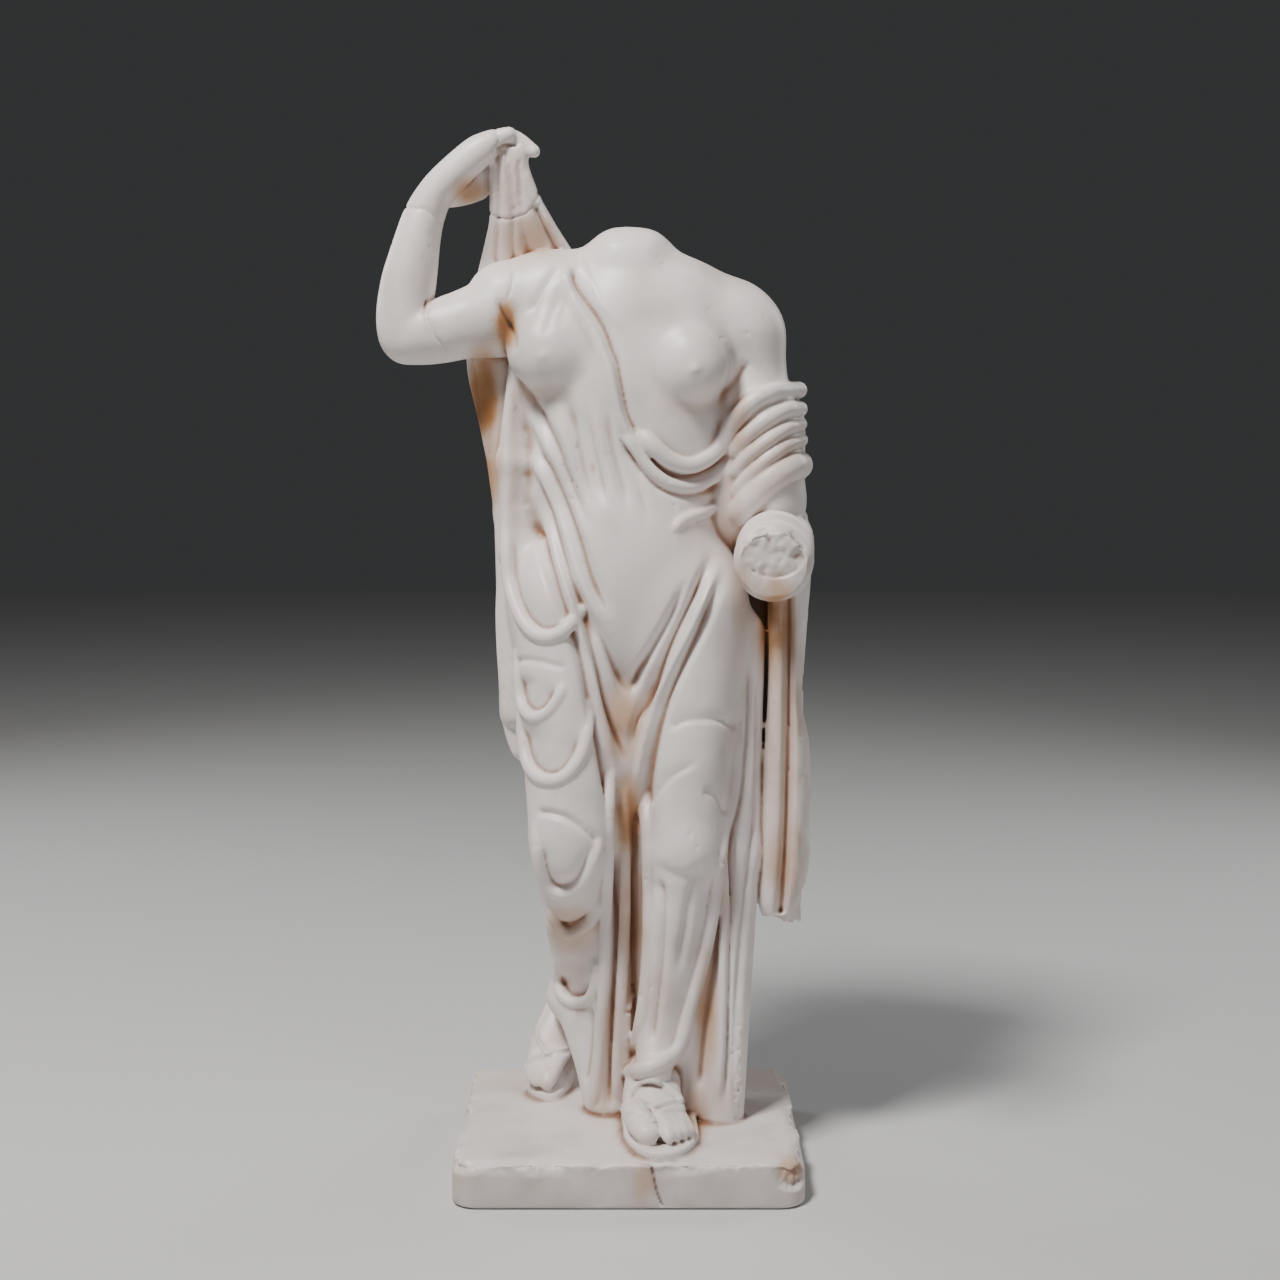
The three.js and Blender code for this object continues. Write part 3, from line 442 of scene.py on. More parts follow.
def figure_relief(p, normal):
    """Front folds where the surface faces the viewer, and even upright pleats low on the back."""
    xz = seen(p)
    front = smooth(0.3, -0.3, normal[:, 1]) * (folds_height(FRONT_FOLDS, xz) + bumps_height(NIPPLES, xz))
    behind = smooth(0.05, 0.5, normal[:, 1]) * smooth(470, 380, p[:, 2])
    return front + behind * BACK_FOLD_HEIGHT * np.cos(2 * np.pi * (p[:, 0] - 0.1 * p[:, 2]) / BACK_FOLD_WIDTH)


def figure(levels=520, fans=120, spokes=540):
    """Level rays from the plinth up to the chest, then a fan of rays from the chest over the shoulders and neck."""
    chest = np.array([3.0, 20.0, 815.0])
    z = np.linspace(PLINTH_HEIGHT - 8, chest[2], levels, endpoint=False)
    low = np.stack([mix(24, 3, smooth(40, 500, z)), mix(40, 20, smooth(150, 800, z)), z], -1)
    lift = np.concatenate([np.zeros(levels), np.linspace(0, np.pi / 2 * 0.997, fans)])[:, None]
    angle = np.linspace(0, 2 * np.pi, spokes, endpoint=False)[None]
    rays = np.stack([np.cos(lift) * np.cos(angle), np.cos(lift) * np.sin(angle), np.sin(lift) + 0 * angle], -1)
    starts = np.concatenate([low, np.repeat(chest[None], fans, 0)])
    return skin(melted(FIGURE), starts, rays, 260, figure_relief)


def on_body(body, x, z):
    """Real points of a body at places of the front view: the eye's rays, followed to it or to where they pass closest."""
    far = place(x, z, 0.0)
    way = unit(far - EYE)
    reach = np.linalg.norm(far - EYE, axis=-1) - 180
    best, best_gap = reach.copy(), np.full(len(reach), 1e6)
    for _ in range(70):
        gap = body(EYE + way * reach[:, None])
        nearer = np.abs(gap) < best_gap
        best, best_gap = np.where(nearer, reach, best), np.minimum(np.abs(gap), best_gap)
        reach = reach + np.clip(0.8 * gap, -20, 20)
    return EYE + way * best[:, None], way


def rolls():
    """Round rolls sunk part of the way into the figure's surface and fading into it at both ends."""
    body = melted(FIGURE)
    made = []
    for radius, rise, points in ROLLS:
        line = smooth_line(points, 5)
        touch, way = on_body(body, line[:, 0], line[:, 1])
        touch = relaxed_line(touch, 3)
        share = np.linspace(0, 1, len(line))
        fade = smooth(0, 0.14, share) * smooth(1, 0.86, share)
        path = touch - way * (rise * fade - radius - 7 * (1 - fade))[:, None]
        made.append(strand(np.concatenate([path, np.full((len(path), 1), radius)], 1), 2, 20))
    return made


def relaxed_line(path, rounds):
    for _ in range(rounds):
        path = np.concatenate([path[:1], (path[:-2] + 2 * path[1:-1] + path[2:]) / 4, path[-1:]])
    return path


def swept(rows, per_span=10, spokes=72):
    """Round body between two edges of the front view. Each row holds a point of either edge, the depth of the
    middle and half the thickness; the sections are ovals from edge to edge, rounded off at the last row."""
    rows = smooth_line(rows, per_span)
    x1, z1, x2, z2, depth, half = rows.T
    one, two = place(x1, z1, depth), place(x2, z2, depth)
    count = len(rows)
    left = (count - 1 - np.arange(count)) / (per_span * 0.8)
    close = np.sqrt(1 - np.clip(1 - left, 0, 1) ** 2 * 0.98)
    angle = np.linspace(0, 2 * np.pi, spokes, endpoint=False)[:, None]
    across = ((two - one) / 2 * close[:, None])[:, None]
    deep = np.array([0, 1.0, 0]) * (half * close)[:, None, None]
    return closed_grid(((one + two) / 2)[:, None] + across * np.cos(angle) + deep * np.sin(angle))


def strand(rows, per_span=8, spokes=28, flat=1.0):
    """Soft rod along real points with a radius at each, rounded at both ends and flattened in height."""
    rows = smooth_line(np.array(rows, float), per_span)
    path, radius = rows[:, :3], rows[:, 3]
    tangent = unit(np.gradient(path, axis=0))
    side = unit(np.cross(tangent, np.array([0.08, 0.05, 1.0])))
    up = np.cross(side, tangent)
    t = np.linspace(-1, 1, 7)[1:-1]
    cap = np.sqrt(1 - np.linspace(0.97, 0, 6) ** 2)
    gone = np.linspace(0.97, 0, 6)
    path = np.concatenate([path[:1] - tangent[:1] * radius[0] * gone[:, None], path,
                           path[-1:] + tangent[-1:] * radius[-1] * gone[::-1, None]])
    radius = np.concatenate([radius[0] * cap, radius, radius[-1] * cap[::-1]])
    side = np.concatenate([np.repeat(side[:1], 6, 0), side, np.repeat(side[-1:], 6, 0)])
    up = np.concatenate([np.repeat(up[:1], 6, 0), up, np.repeat(up[-1:], 6, 0)])
    return closed_grid(path[:, None] + around(side, up * flat, spokes) * radius[:, None, None])


# Edges of the raised arm from the shoulder round the elbow to the back of the hand
ARM = [
    [-88, 812, -90, 892, -1, 38], [-104, 800, -106, 894, -2, 42], [-122, 796, -124, 890, -4, 42],
    [-141, 795, -140, 883, -5, 40], [-162, 794, -158, 869.5, -6, 36], [-184, 790, -176, 861, -8, 33.5],
    [-208, 788, -187, 857, -9, 32], [-231, 790, -194, 853.5, -9, 31], [-246, 803, -196, 852, -9, 30],
    [-252, 823, -195, 855, -9, 30], [-252, 848, -193, 867, -9, 29], [-247, 877, -191, 886, -9, 27],
    [-240, 900, -189.5, 904, -9, 25], [-233, 921, -187, 922, -9, 23], [-226, 940, -183, 938, -9, 21],
    [-216, 959, -177, 952, -10, 19.5], [-201, 979, -168, 962, -12, 18], [-180, 999, -157, 973, -14, 17],
    [-160, 1015, -144, 985, -15, 16], [-143, 1022, -134, 995, -15, 14], [-130, 1024.5, -128, 1003, -14, 11],
    [-118, 1026, -119, 1009, -13, 9], [-111, 1020, -113, 1011, -12, 6.5],
]


def hand():
    """Palm and outer fingers behind the back of the hand, and the finger that points away over the cloth."""
    palm = swept([[-194, 975, -184, 945, -2, 13], [-180, 975, -172, 946, 6, 15], [-165, 985, -158, 949, 10, 15],
                  [-150, 990, -147, 953, 12, 14], [-137, 995, -136, 958, 13, 12]])
    tip = strand([[*place(-124, 1017, -8), 8.5], [*place(-112, 1014.5, -8), 7], [*place(-102, 1008, -8), 6.2],
                  [*place(-95, 1001.5, -9), 6.4]])
    return [palm, tip]


def hanging(rows, relief, per_span=24, spokes=120):
    """Hanging cloth from rows of [z, left, right, depth of the middle, half the thickness]: each section is
    a squared-off oval in the front view's width, thickened by the folds."""
    rows = smooth_line(rows, per_span)
    z, left, right, depth, half = (rows[:, k][:, None] for k in range(5))
    angle = np.linspace(0, 2 * np.pi, spokes, endpoint=False)[None]
    across = np.sign(np.cos(angle)) * np.abs(np.cos(angle)) ** 0.6
    deep = np.sign(np.sin(angle)) * np.abs(np.sin(angle)) ** 0.8
    x = mix(left, right, (across + 1) / 2)
    flat = np.stack([x, z + 0 * x], -1).reshape(-1, 2)
    lift = folds_height(relief, flat).reshape(x.shape)
    return closed_grid(place(x, z + 0 * x, depth + deep * (half + lift)))


def fan_of_cloth():
    folds = [
        fold(5, -6, [[-131, 1004], [-131, 970], [-130, 941], [-134, 885]], 0.05),
        fold(4, -4, [[-125, 1005], [-120, 985], [-116, 950], [-116, 890]], 0.05),
        fold(4, -4, [[-110, 995], [-107, 945], [-100, 890]], 0.05),
        fold(6, -8, [[-95, 950], [-84, 925], [-70, 898]], 0.1),
        fold(7, 4, [[-100, 985], [-92, 962], [-78, 930], [-63, 904]], 0.1),
    ]
    return hanging([
        [1014, -126, -112, -6, 7], [1004, -134, -102, -5, 12], [985, -139, -99.5, -3, 14], [955, -139.5, -88, 4, 15],
        [937, -139.5, -78, 9, 16], [925, -141, -71, 13, 16], [890, -149, -50, 28, 17], [850, -158, -36, 44, 17],
        [800, -162, -30, 56, 16], [740, -150, -30, 64, 12],
    ], folds)


def hanging_panel():
    folds = [
        fold(8, -14, [[160, 600], [160, 500], [159, 400], [156, 300], [151, 236]], 0.03),
        fold(4, -4, [[176, 600], [172, 500], [176, 420]]),
    ]
    return hanging([
        [640, 138, 178, 20, 30], [600, 138, 183, 16, 34], [500, 139, 176, 12, 36], [450, 138, 173, 10, 36],
        [400, 135, 181, 10, 36], [300, 130, 181, 10, 34], [255, 129, 172, 10, 31], [237, 133, 163, 10, 26],
    ], folds, 30, 140)


MANTLE_EDGE = np.array([[-141, 930], [-147, 905], [-156, 865], [-162, 805], [-151, 750], [-141, 700], [-132, 650],
                        [-133, 600], [-135, 550], [-133, 500], [-128, 440], [-114, 400]])
MANTLE_FOLD_TURN = 0.21
MANTLE_THICK = 17.0


def mantle(columns=190, rows=300):
    """Thick cloth bent round the back from the left edge to the right arm. Its top runs from the shoulder down to
    the arm and its hem slants across the thighs; its folds fan out from the raised hand."""
    u = np.linspace(0, 1, columns)[None]
    v = np.linspace(0, 1, rows)[:, None]
    edge = smooth_line(MANTLE_EDGE)[::-1]

    def middle(u, v):
        z = mix(mix(905, 748, smooth(0.25, 1, u)), mix(414, 236, u), v)
        angle = np.pi * (1 - u)
        across = np.cos(angle) + 0 * v
        left = np.interp(z, edge[:, 1], edge[:, 0]) + MANTLE_THICK / 2
        x = np.where(across < 0, -left * across, 168 * across)
        sag = 10 * smooth(900, 840, z) - 14 * smooth(560, 400, z) * (1 - u)
        return np.stack([x, 18 + (56 + sag) * np.maximum(np.sin(angle), 0) ** 0.7, z], -1)

    centre = middle(u, v)
    out = unit(np.cross(np.gradient(centre, axis=1), np.gradient(centre, axis=0)))
    out *= np.where(out[..., 1:2] < 0, -1, 1)
    turn = np.arctan2(centre[..., 0] + 125, 1075 - centre[..., 2])
    swing = 1 - np.abs(np.sin(2 * np.pi * turn / MANTLE_FOLD_TURN)) ** 0.7
    ripple = 6 * swing * smooth(0.02, 0.12, u) * smooth(1, 0.9, u) * smooth(1.05, 0.85, v)
    outer = centre + out * (MANTLE_THICK / 2 + ripple)[..., None]
    inner = centre - out * (MANTLE_THICK / 2)
    return closed_grid(np.concatenate([outer, inner[:, ::-1]], 1))


def stump():
    """Gathered sleeve round the broken forearm: rings whose radius ripples along it."""
    start, tip = place(147, 612, 10), place(144, 588, -142)
    t = np.linspace(0, 1, 110)
    path = start + (tip - start) * t[:, None]
    radius = 36 + 2.2 * np.cos(t * 34) * smooth(1, 0.85, t) - 3.5 * smooth(0.9, 1, t)
    along = unit(tip - start)
    side = unit(np.array([along[1], -along[0], 0]))
    rays = around(np.repeat(side[None], len(t), 0), np.repeat(np.cross(along, side)[None], len(t), 0), 110)
    return closed_grid(path[:, None] + rays * radius[:, None, None])


# Feet in real places: rods of [x, y, z, radius] for the toes, ovals of [x, y, z, half width, half height] for the foot
SOLE_THICKNESS = 8.0
FRONT_TOES = [
    [[5, -72, 72, 13], [9, -95, 70, 14], [15, -113, 66, 13], [18, -120, 63.5, 11.5]],
    [[28, -84, 71, 8], [33, -104, 71, 7.8], [37, -118, 66, 7.2], [38.5, -123, 62, 6.8]],
    [[36, -82, 69, 7.5], [41, -101, 69, 7], [45, -113, 64, 6.6], [46, -117, 61, 6.2]],
    [[43, -77, 67, 7], [48, -95, 67, 6.6], [52, -106, 63, 6.2], [53, -110, 60.5, 5.8]],
    [[49, -70, 65, 7], [54, -86, 65, 6.4], [58, -97, 61.5, 6.2], [59.5, -102, 59.5, 5.8]],
    [[22, -92, 60, 9], [27, -104, 57, 8], [31, -108, 55, 6]], [[38, -92, 59, 8], [50, -88, 58, 8]],
]
FRONT_FOOT = [[26, 30, 76, 22, 30], [25, 10, 84, 25, 38], [24, -20, 84, 27, 36], [23, -48, 79, 29, 27],
              [25, -72, 71, 31, 18], [28, -90, 65, 30, 13], [29, -98, 62, 27, 9]]
FRONT_SOLE = [[-6, -55], [-5, -82], [1, -108], [9, -128], [20, -138], [35, -140], [49, -135], [59, -120], [66, -100],
              [69, -76], [66, -20], [58, 30], [26, 50], [-2, 30], [-8, -15]]
BACK_TOES = [
    [[-72, 66, 84, 9], [-79, 50, 76, 10], [-84, 40, 68, 10], [-86, 34, 64, 8.5]],
    [[-82, 68, 82, 6.5], [-90, 52, 76, 6.5], [-95, 42, 68, 6], [-97, 37, 63, 5.5]],
    [[-87, 72, 82, 6], [-95, 57, 77, 6], [-100, 47, 69, 5.6], [-101.5, 42, 64, 5.2]],
    [[-91, 78, 83, 5.6], [-99, 63, 79, 5.6], [-103.5, 53, 71, 5.2], [-104.5, 48, 66, 5]],
    [[-93, 84, 85, 5.6], [-101, 71, 81, 5.4], [-106, 61, 74, 5], [-106.5, 57, 70, 4.8]],
]
BACK_FOOT = [[-58, 142, 132, 19, 24], [-63, 120, 126, 22, 27], [-70, 100, 114, 24, 26], [-77, 82, 101, 25, 22],
             [-83, 66, 88, 24, 15], [-88, 54, 78, 20, 9]]
BACK_SOLE = [[-108, 58], [-102, 42], [-92, 31], [-80, 29], [-71, 38], [-64, 60], [-54, 95], [-46, 130], [-54, 150],
             [-70, 148], [-80, 122], [-92, 92], [-104, 74]]


def foot(toes, body, outline, lift):
    """Toes, the foot behind them and the flat sole; `lift` raises the sole along its length from toe to heel."""
    parts = [strand(toe, 8, 28, 0.95) for toe in toes]
    rows = smooth_line(body, 10)
    angle = np.linspace(0, 2 * np.pi, 72, endpoint=False)[None]
    x, y, z, wide, high = (rows[:, k][:, None] for k in range(5))
    low = np.maximum(z - high, PLINTH_HEIGHT + SOLE_THICKNESS - 1 + lift(y) - z * 0)
    rings = np.stack([x + wide * np.cos(angle), y + 0 * angle, np.maximum(z + high * np.sin(angle), low)], -1)
    parts.append(closed_grid(rings))
    edge = smooth_line(np.array(outline + outline[:1], float), 8)[:-1]
    level = np.concatenate([edge, np.full((len(edge), 1), PLINTH_HEIGHT)], 1)
    middle = level.mean(0)
    rings = []
    for height, inset in ((-3, 0.99), (0, 0.99), (2, 1.0), (SOLE_THICKNESS - 2, 1.0), (SOLE_THICKNESS, 0.975)):
        ring = middle + (level - middle) * inset
        ring[:, 2] += height + lift(ring[:, 1])
        rings.append(ring)
    parts.append(closed_grid(np.stack(rings)))
    return parts


def raised_heel(y):
    """Rise of the back foot's sole: flat under the toes, then up to the lifted heel."""
    return 58 * smooth(50, 165, y)


def plinth():
    """Block with rounded upright corners and softened edges: one outline, drawn in towards top and bottom."""
    step = np.linspace(0, np.pi / 2, 14)
    corners = [(1, -1, -np.pi / 2), (1, 1, 0), (-1, 1, np.pi / 2), (-1, -1, np.pi)]
    outline = []
    for sx, sy, start in corners:
        centre = np.array([sx * (PLINTH_WIDTH / 2 - PLINTH_CORNER), sy * (PLINTH_DEPTH / 2 - PLINTH_CORNER)])
        outline.append(centre + PLINTH_CORNER * np.stack([np.cos(start + step), np.sin(start + step)], -1))
    outline = np.concatenate(outline)
    e = PLINTH_EDGE
    rows = [(0, e), (0, e), (e, 0), (PLINTH_HEIGHT - e, 0), (PLINTH_HEIGHT, e)]
    scale = np.array([1 - inset / (PLINTH_DEPTH / 2) for _, inset in rows])[:, None, None]
    rings = outline[None] * scale
    heights = np.array([z for z, _ in rows])[:, None, None]
    return closed_grid(np.concatenate([rings, np.broadcast_to(heights, rings.shape[:2] + (1,))], -1))


# Blender meshes
def mesh_of(name, points, triangles):
    mesh = bpy.data.meshes.new(name)
    mesh.vertices.add(len(points))
    mesh.vertices.foreach_set("co", (points * MM).astype(np.float32).ravel())
    mesh.loops.add(3 * len(triangles))
    mesh.loops.foreach_set("vertex_index", triangles.astype(np.int32).ravel())
    mesh.polygons.add(len(triangles))
    mesh.polygons.foreach_set("loop_start", np.arange(0, 3 * len(triangles), 3, dtype=np.int32))
    mesh.update(calc_edges=True)
    return mesh


def arrays_of(mesh):
    """Points in millimetres and triangles of a mesh."""
    points = np.empty(3 * len(mesh.vertices), np.float32)
    mesh.vertices.foreach_get("co", points)
    mesh.calc_loop_triangles()
    triangles = np.empty(3 * len(mesh.loop_triangles), np.int32)
    mesh.loop_triangles.foreach_get("vertices", triangles)
    return points.reshape(-1, 3).astype(float) / MM, triangles.reshape(-1, 3)


def modified(points, triangles, kind, **settings):
    """The same surface after one modifier, as arrays again."""
    mesh = mesh_of("work", points, triangles)
    piece = bpy.data.objects.new("work", mesh)
    bpy.context.collection.objects.link(piece)
    modifier = piece.modifiers.new("work", kind)
    for key, value in settings.items():
        setattr(modifier, key, value)
    made = piece.evaluated_get(bpy.context.evaluated_depsgraph_get())
    result = arrays_of(made.data)
    bpy.data.objects.remove(piece)
    bpy.data.meshes.remove(mesh)
    return result


def joined(parts):
    """Several closed meshes as one pair of arrays."""
    starts = np.cumsum([0] + [len(points) for points, _ in parts[:-1]])
    points = np.concatenate([points for points, _ in parts])
    return points, np.concatenate([faces + start for (_, faces), start in zip(parts, starts)])


def edges_of(triangles):
    both = np.concatenate([triangles[:, [0, 1]], triangles[:, [1, 2]], triangles[:, [2, 0]]])
    return both[both[:, 0] < both[:, 1]]


def relaxed(points, edges, rounds, weight=1.0):
    """Moves each point towards the mean of its neighbours, this many times."""
    count = len(points)
    a, b = edges.T
    near = np.bincount(a, minlength=count) + np.bincount(b, minlength=count)
    weight = np.broadcast_to(weight, (count,))[:, None]
    for _ in range(rounds):
        total = np.stack([np.bincount(a, points[b, k], count) + np.bincount(b, points[a, k], count)
                          for k in range(3)], -1)
        points = points + 0.6 * weight * (total / near[:, None] - points)
    return points


def normals_of(points, triangles):
    corners = points[triangles]
    face = np.cross(corners[:, 1] - corners[:, 0], corners[:, 2] - corners[:, 0])
    total = np.stack([np.bincount(triangles.ravel(), np.repeat(face[:, k], 3), len(points)) for k in range(3)], -1)
    return unit(total)


# Lines cut into the finished surface: half width, height and places in the front view
FOOT_LINES = [
    fold(3, 2.2, [[-2, 40], [8, 42.5], [16, 40], [22, 35]], 0.05),
    fold(3, 2.2, [[25, 36], [34, 42], [45, 44.5], [57, 43]], 0.05),
    fold(2.5, -1.5, [[-3, 44], [10, 46], [20, 42], [30, 46], [45, 49.5], [58, 47]], 0.05),
    fold(2.5, 1.6, [[-3, 47], [10, 49.5], [20, 46], [30, 49], [45, 53], [56, 52]], 0.05),
    fold(3.5, 3, [[24, 46], [24.5, 38], [25, 30]], 0.1),
    fold(3.5, 2.5, [[-4, 50], [0, 60], [8, 68], [18, 72], [28, 71], [40, 65], [50, 57], [55, 49]], 0.1, (-9, 2.5)),
    fold(2.2, 2.2, [[-93, 126], [-91, 115], [-87, 106], [-82, 98]], 0.05),
    fold(2.2, 2.2, [[-84, 98], [-76, 101.5], [-66, 104], [-60, 105]], 0.05),
    fold(2.2, -1.2, [[-84, 94], [-76, 97], [-66, 99.5], [-60, 101]], 0.05),
    fold(2.4, 2.2, [[-81, 99], [-82, 90], [-80, 83]], 0.05),
]
REPAIR_LINES = [
    fold(2.4, -1.5, [[-224, 946], [-214, 944.5], [-205, 944], [-197, 939], [-187, 930]], 0),
    fold(2.4, -1.8, [[-202, 856], [-204, 845], [-203, 836], [-199, 827], [-193, 815], [-180, 802]], 0.05),
    fold(2.4, -1.2, [[-118, 893], [-116, 880], [-117, 868], [-121, 855]], 0),
    fold(2.4, -1.6, [[-140, 940], [-134, 936], [-122, 934], [-110, 937], [-101, 941], [-92, 955], [-90, 962]], 0),
    fold(2.2, -1.2, [[-134, 1024], [-130, 1015], [-131, 1005]], 0),
    fold(3, -2.5, [[-130, 1004], [-124, 1008], [-113, 1008]], 0),
    fold(7, -4, [[-133, 858], [-127, 842], [-119, 826], [-116, 812], [-117, 796]], 0.2),
]
# Soft patches of brown stain, and of painted shade under the breasts, under the raised arm, in the palm, down the
# receding shin and under the broken forearm: [x, z, half width, half height, strength]
STAIN_AND_SHADE_PATCHES = [
    # [-158, 962]: painted shade in the hollow of the palm
    [-118, 970, 22, 42, 0.5], [-105, 915, 46, 36, 0.55], [-158, 962, 24, 18, 1.1], [-200, 835, 10, 24, 0.25],
    # [-146, 760] and [-136, 690]: painted shade under the raised arm
    [-123, 828, 14, 34, 1.2], [-146, 760, 22, 60, 1.4], [-136, 690, 14, 60, 0.9], [-115, 690, 8, 110, 0.5],
    [138, 700, 44, 46, 0.45], [110, 735, 12, 52, 0.7], [102, 640, 14, 60, 0.6], [112, 560, 14, 60, 0.6],
    # [146, 525]: painted shadow under the broken forearm
    [146, 525, 26, 60, 1.3], [157, 400, 26, 160, 0.5], [155, 300, 26, 70, 0.7], [-6, 425, 26, 60, 0.75],
    [-2, 340, 18, 60, 1.0], [2, 230, 20, 110, 0.75], [-8, 110, 30, 80, 0.5], [30, 150, 22, 60, 0.3],
    [78, 130, 14, 90, 0.9], [98, 260, 12, 60, 0.5], [70, 50, 18, 40, 0.6], [-25, 60, 20, 44, 0.4],
    # [-60, 222] and [-58, 180]: painted shade down the receding shin; [60, 744] and [-78, 760]: painted shadow under
    # the breasts
    [-60, 222, 34, 34, 0.6], [-58, 180, 22, 22, 0.4], [60, 744, 34, 10, 0.4], [-78, 760, 34, 12, 0.45],
    [-36, 685, 4, 4, 0.9], [14, -30, 14, 26, 0.7], [160, -16, 16, 18, 1.0], [-168, -20, 12, 18, 0.4],
    [15, 8, 12, 14, 0.25], [90, 60, 26, 30, 0.4], [-90, 72, 16, 16, 0.4],
]


def worn(points, triangles):
    """Straps, mended breaks, the broken stump, and the chips and dents of the plinth and the free edges."""
    normal = normals_of(points, triangles)
    xz = seen(points)
    x, y, z = points.T
    facing = smooth(0.15, -0.35, normal[:, 1])
    above = smooth(PLINTH_HEIGHT + 1, PLINTH_HEIGHT + 6, z)
    lift = facing * above * ((z < 190) * folds_height(FOOT_LINES, xz) * (y < 130))
    lift += smooth(0.5, 0, normal[:, 1]) * (z > 700) * (xz[:, 0] < -85) * folds_height(REPAIR_LINES, xz)

    def where(mask, work):
        """Adds work(points) times the mask, worked out only where the mask isn't zero."""
        near = np.nonzero(mask)[0]
        lift[near] += mask[near] * work(points[near])

    face = smooth(-128, -138, y) * (z > 500)
    inner = smooth(1.04, 0.94, np.hypot((xz[:, 0] - 145) / 33.5, (xz[:, 1] - 601) / 27))
    where(face * inner, lambda p: 3.5 * rough(p, 18, 3) + 1.6 * noise(p, 5, 4) - 3)

    side = np.minimum(PLINTH_WIDTH / 2 - np.abs(x), PLINTH_DEPTH / 2 - np.abs(y))
    to_edge = np.hypot(np.maximum(side, 0), PLINTH_HEIGHT - z)
    low = smooth(PLINTH_HEIGHT + 6, PLINTH_HEIGHT + 1, z) * (z > 3)
    corner = np.minimum(np.abs(x) - PLINTH_WIDTH / 2 + 40, np.abs(y) - PLINTH_DEPTH / 2 + 40) / 40
    chips = smooth(15, 2, to_edge) * (1 + 1.2 * np.clip(corner, 0, 1))
    where(low * chips, lambda p: -8 * np.maximum(rough(p, 24, 5) + 0.2, 0) - 1.2 * (rough(p, 7, 6) + 0.5))
    where(low, lambda p: 0.5 * rough(p, 70, 7) - 0.4)
    where(low * (0.3 + smooth(30, 0, to_edge)), lambda p: 0.35 * rough(p, 9, 8))
    broken = np.linalg.norm((points - np.array([160, -144, 32])) / [26, 24, 17], axis=1)
    where(low * smooth(1, 0.5, broken), lambda p: -6 - 5 * rough(p, 9, 9))
    crack = fold(3.2, -4.5, [[20, -10], [24, -22], [28, -40], [34, -56]], 0)
    lift += low * (normal[:, 1] < -0.3) * folds_height([crack], xz)

    free_edge = smooth(168, 174, xz[:, 0]) * smooth(600, 560, z) * smooth(236, 280, z) * (y > -90)
    where(free_edge, lambda p: -5 * np.maximum(rough(p, 22, 11) + 0.1, 0))
    hem_edge = smooth(103, 108, xz[:, 0]) * smooth(116, 111, xz[:, 0]) * smooth(165, 145, z) * above
    where(hem_edge, lambda p: -4 * np.maximum(rough(p, 7, 12), 0))
    pits = np.maximum(noise(points, 5.5, 21) - 0.72, 0) * smooth(-0.1, 0.4, noise(points, 60, 22))
    lift -= 5 * pits
    return points + normal * lift[:, None]


def stain_and_shade_at(points):
    """How strongly the brown stain and the painted shade show at each point: the soft patches, broken up by a soft
    random field.
    """
    xz = seen(points)
    total = np.zeros(len(points))
    for x, z, wide, high, strength in STAIN_AND_SHADE_PATCHES:
        near = np.hypot((xz[:, 0] - x) / wide, (xz[:, 1] - z) / high)
        total = np.maximum(total, strength * smooth(1.15, 0.35, near))
    total = np.where(points[:, 1] > 60, 0.25 + 0 * total, total)
    return total * (0.85 + 0.3 * rough(points, 30, 31))


def side_shade_and_stump_dirt(points, normal):
    """Painted shade, a mottled grey, on the plinth's sides below its top, and grey dirt on the broken stump's face."""
    side = smooth(PLINTH_HEIGHT + 1, PLINTH_HEIGHT - 3, points[:, 2]) * smooth(0.6, 0.1, normal[:, 2])
    face = smooth(-128, -138, points[:, 1]) * (points[:, 2] > 500)
    return np.clip(0.55 * side * (0.9 + 0.5 * rough(points, 24, 41)) + 0.3 * face * (0.6 + rough(points, 9, 42)), 0, 1)


def spread(values, edges, rounds):
    """Softens a value per point among its neighbours."""
    a, b = edges.T
    count = len(values)
    near = np.bincount(a, minlength=count) + np.bincount(b, minlength=count)
    for _ in range(rounds):
        total = np.bincount(a, values[b], count) + np.bincount(b, values[a], count)
        values = (values + total / near) / 2
    return values


def hollows(points, triangles):
    """How far each point lies under the smoothed surface, near and wide."""
    edges = edges_of(triangles)
    normal = normals_of(points, triangles)
    near = relaxed(points, edges, 10)
    wide = relaxed(near, edges, 60)
    return (spread(((near - points) * normal).sum(-1), edges, 3),
            spread(((wide - points) * normal).sum(-1), edges, 3))


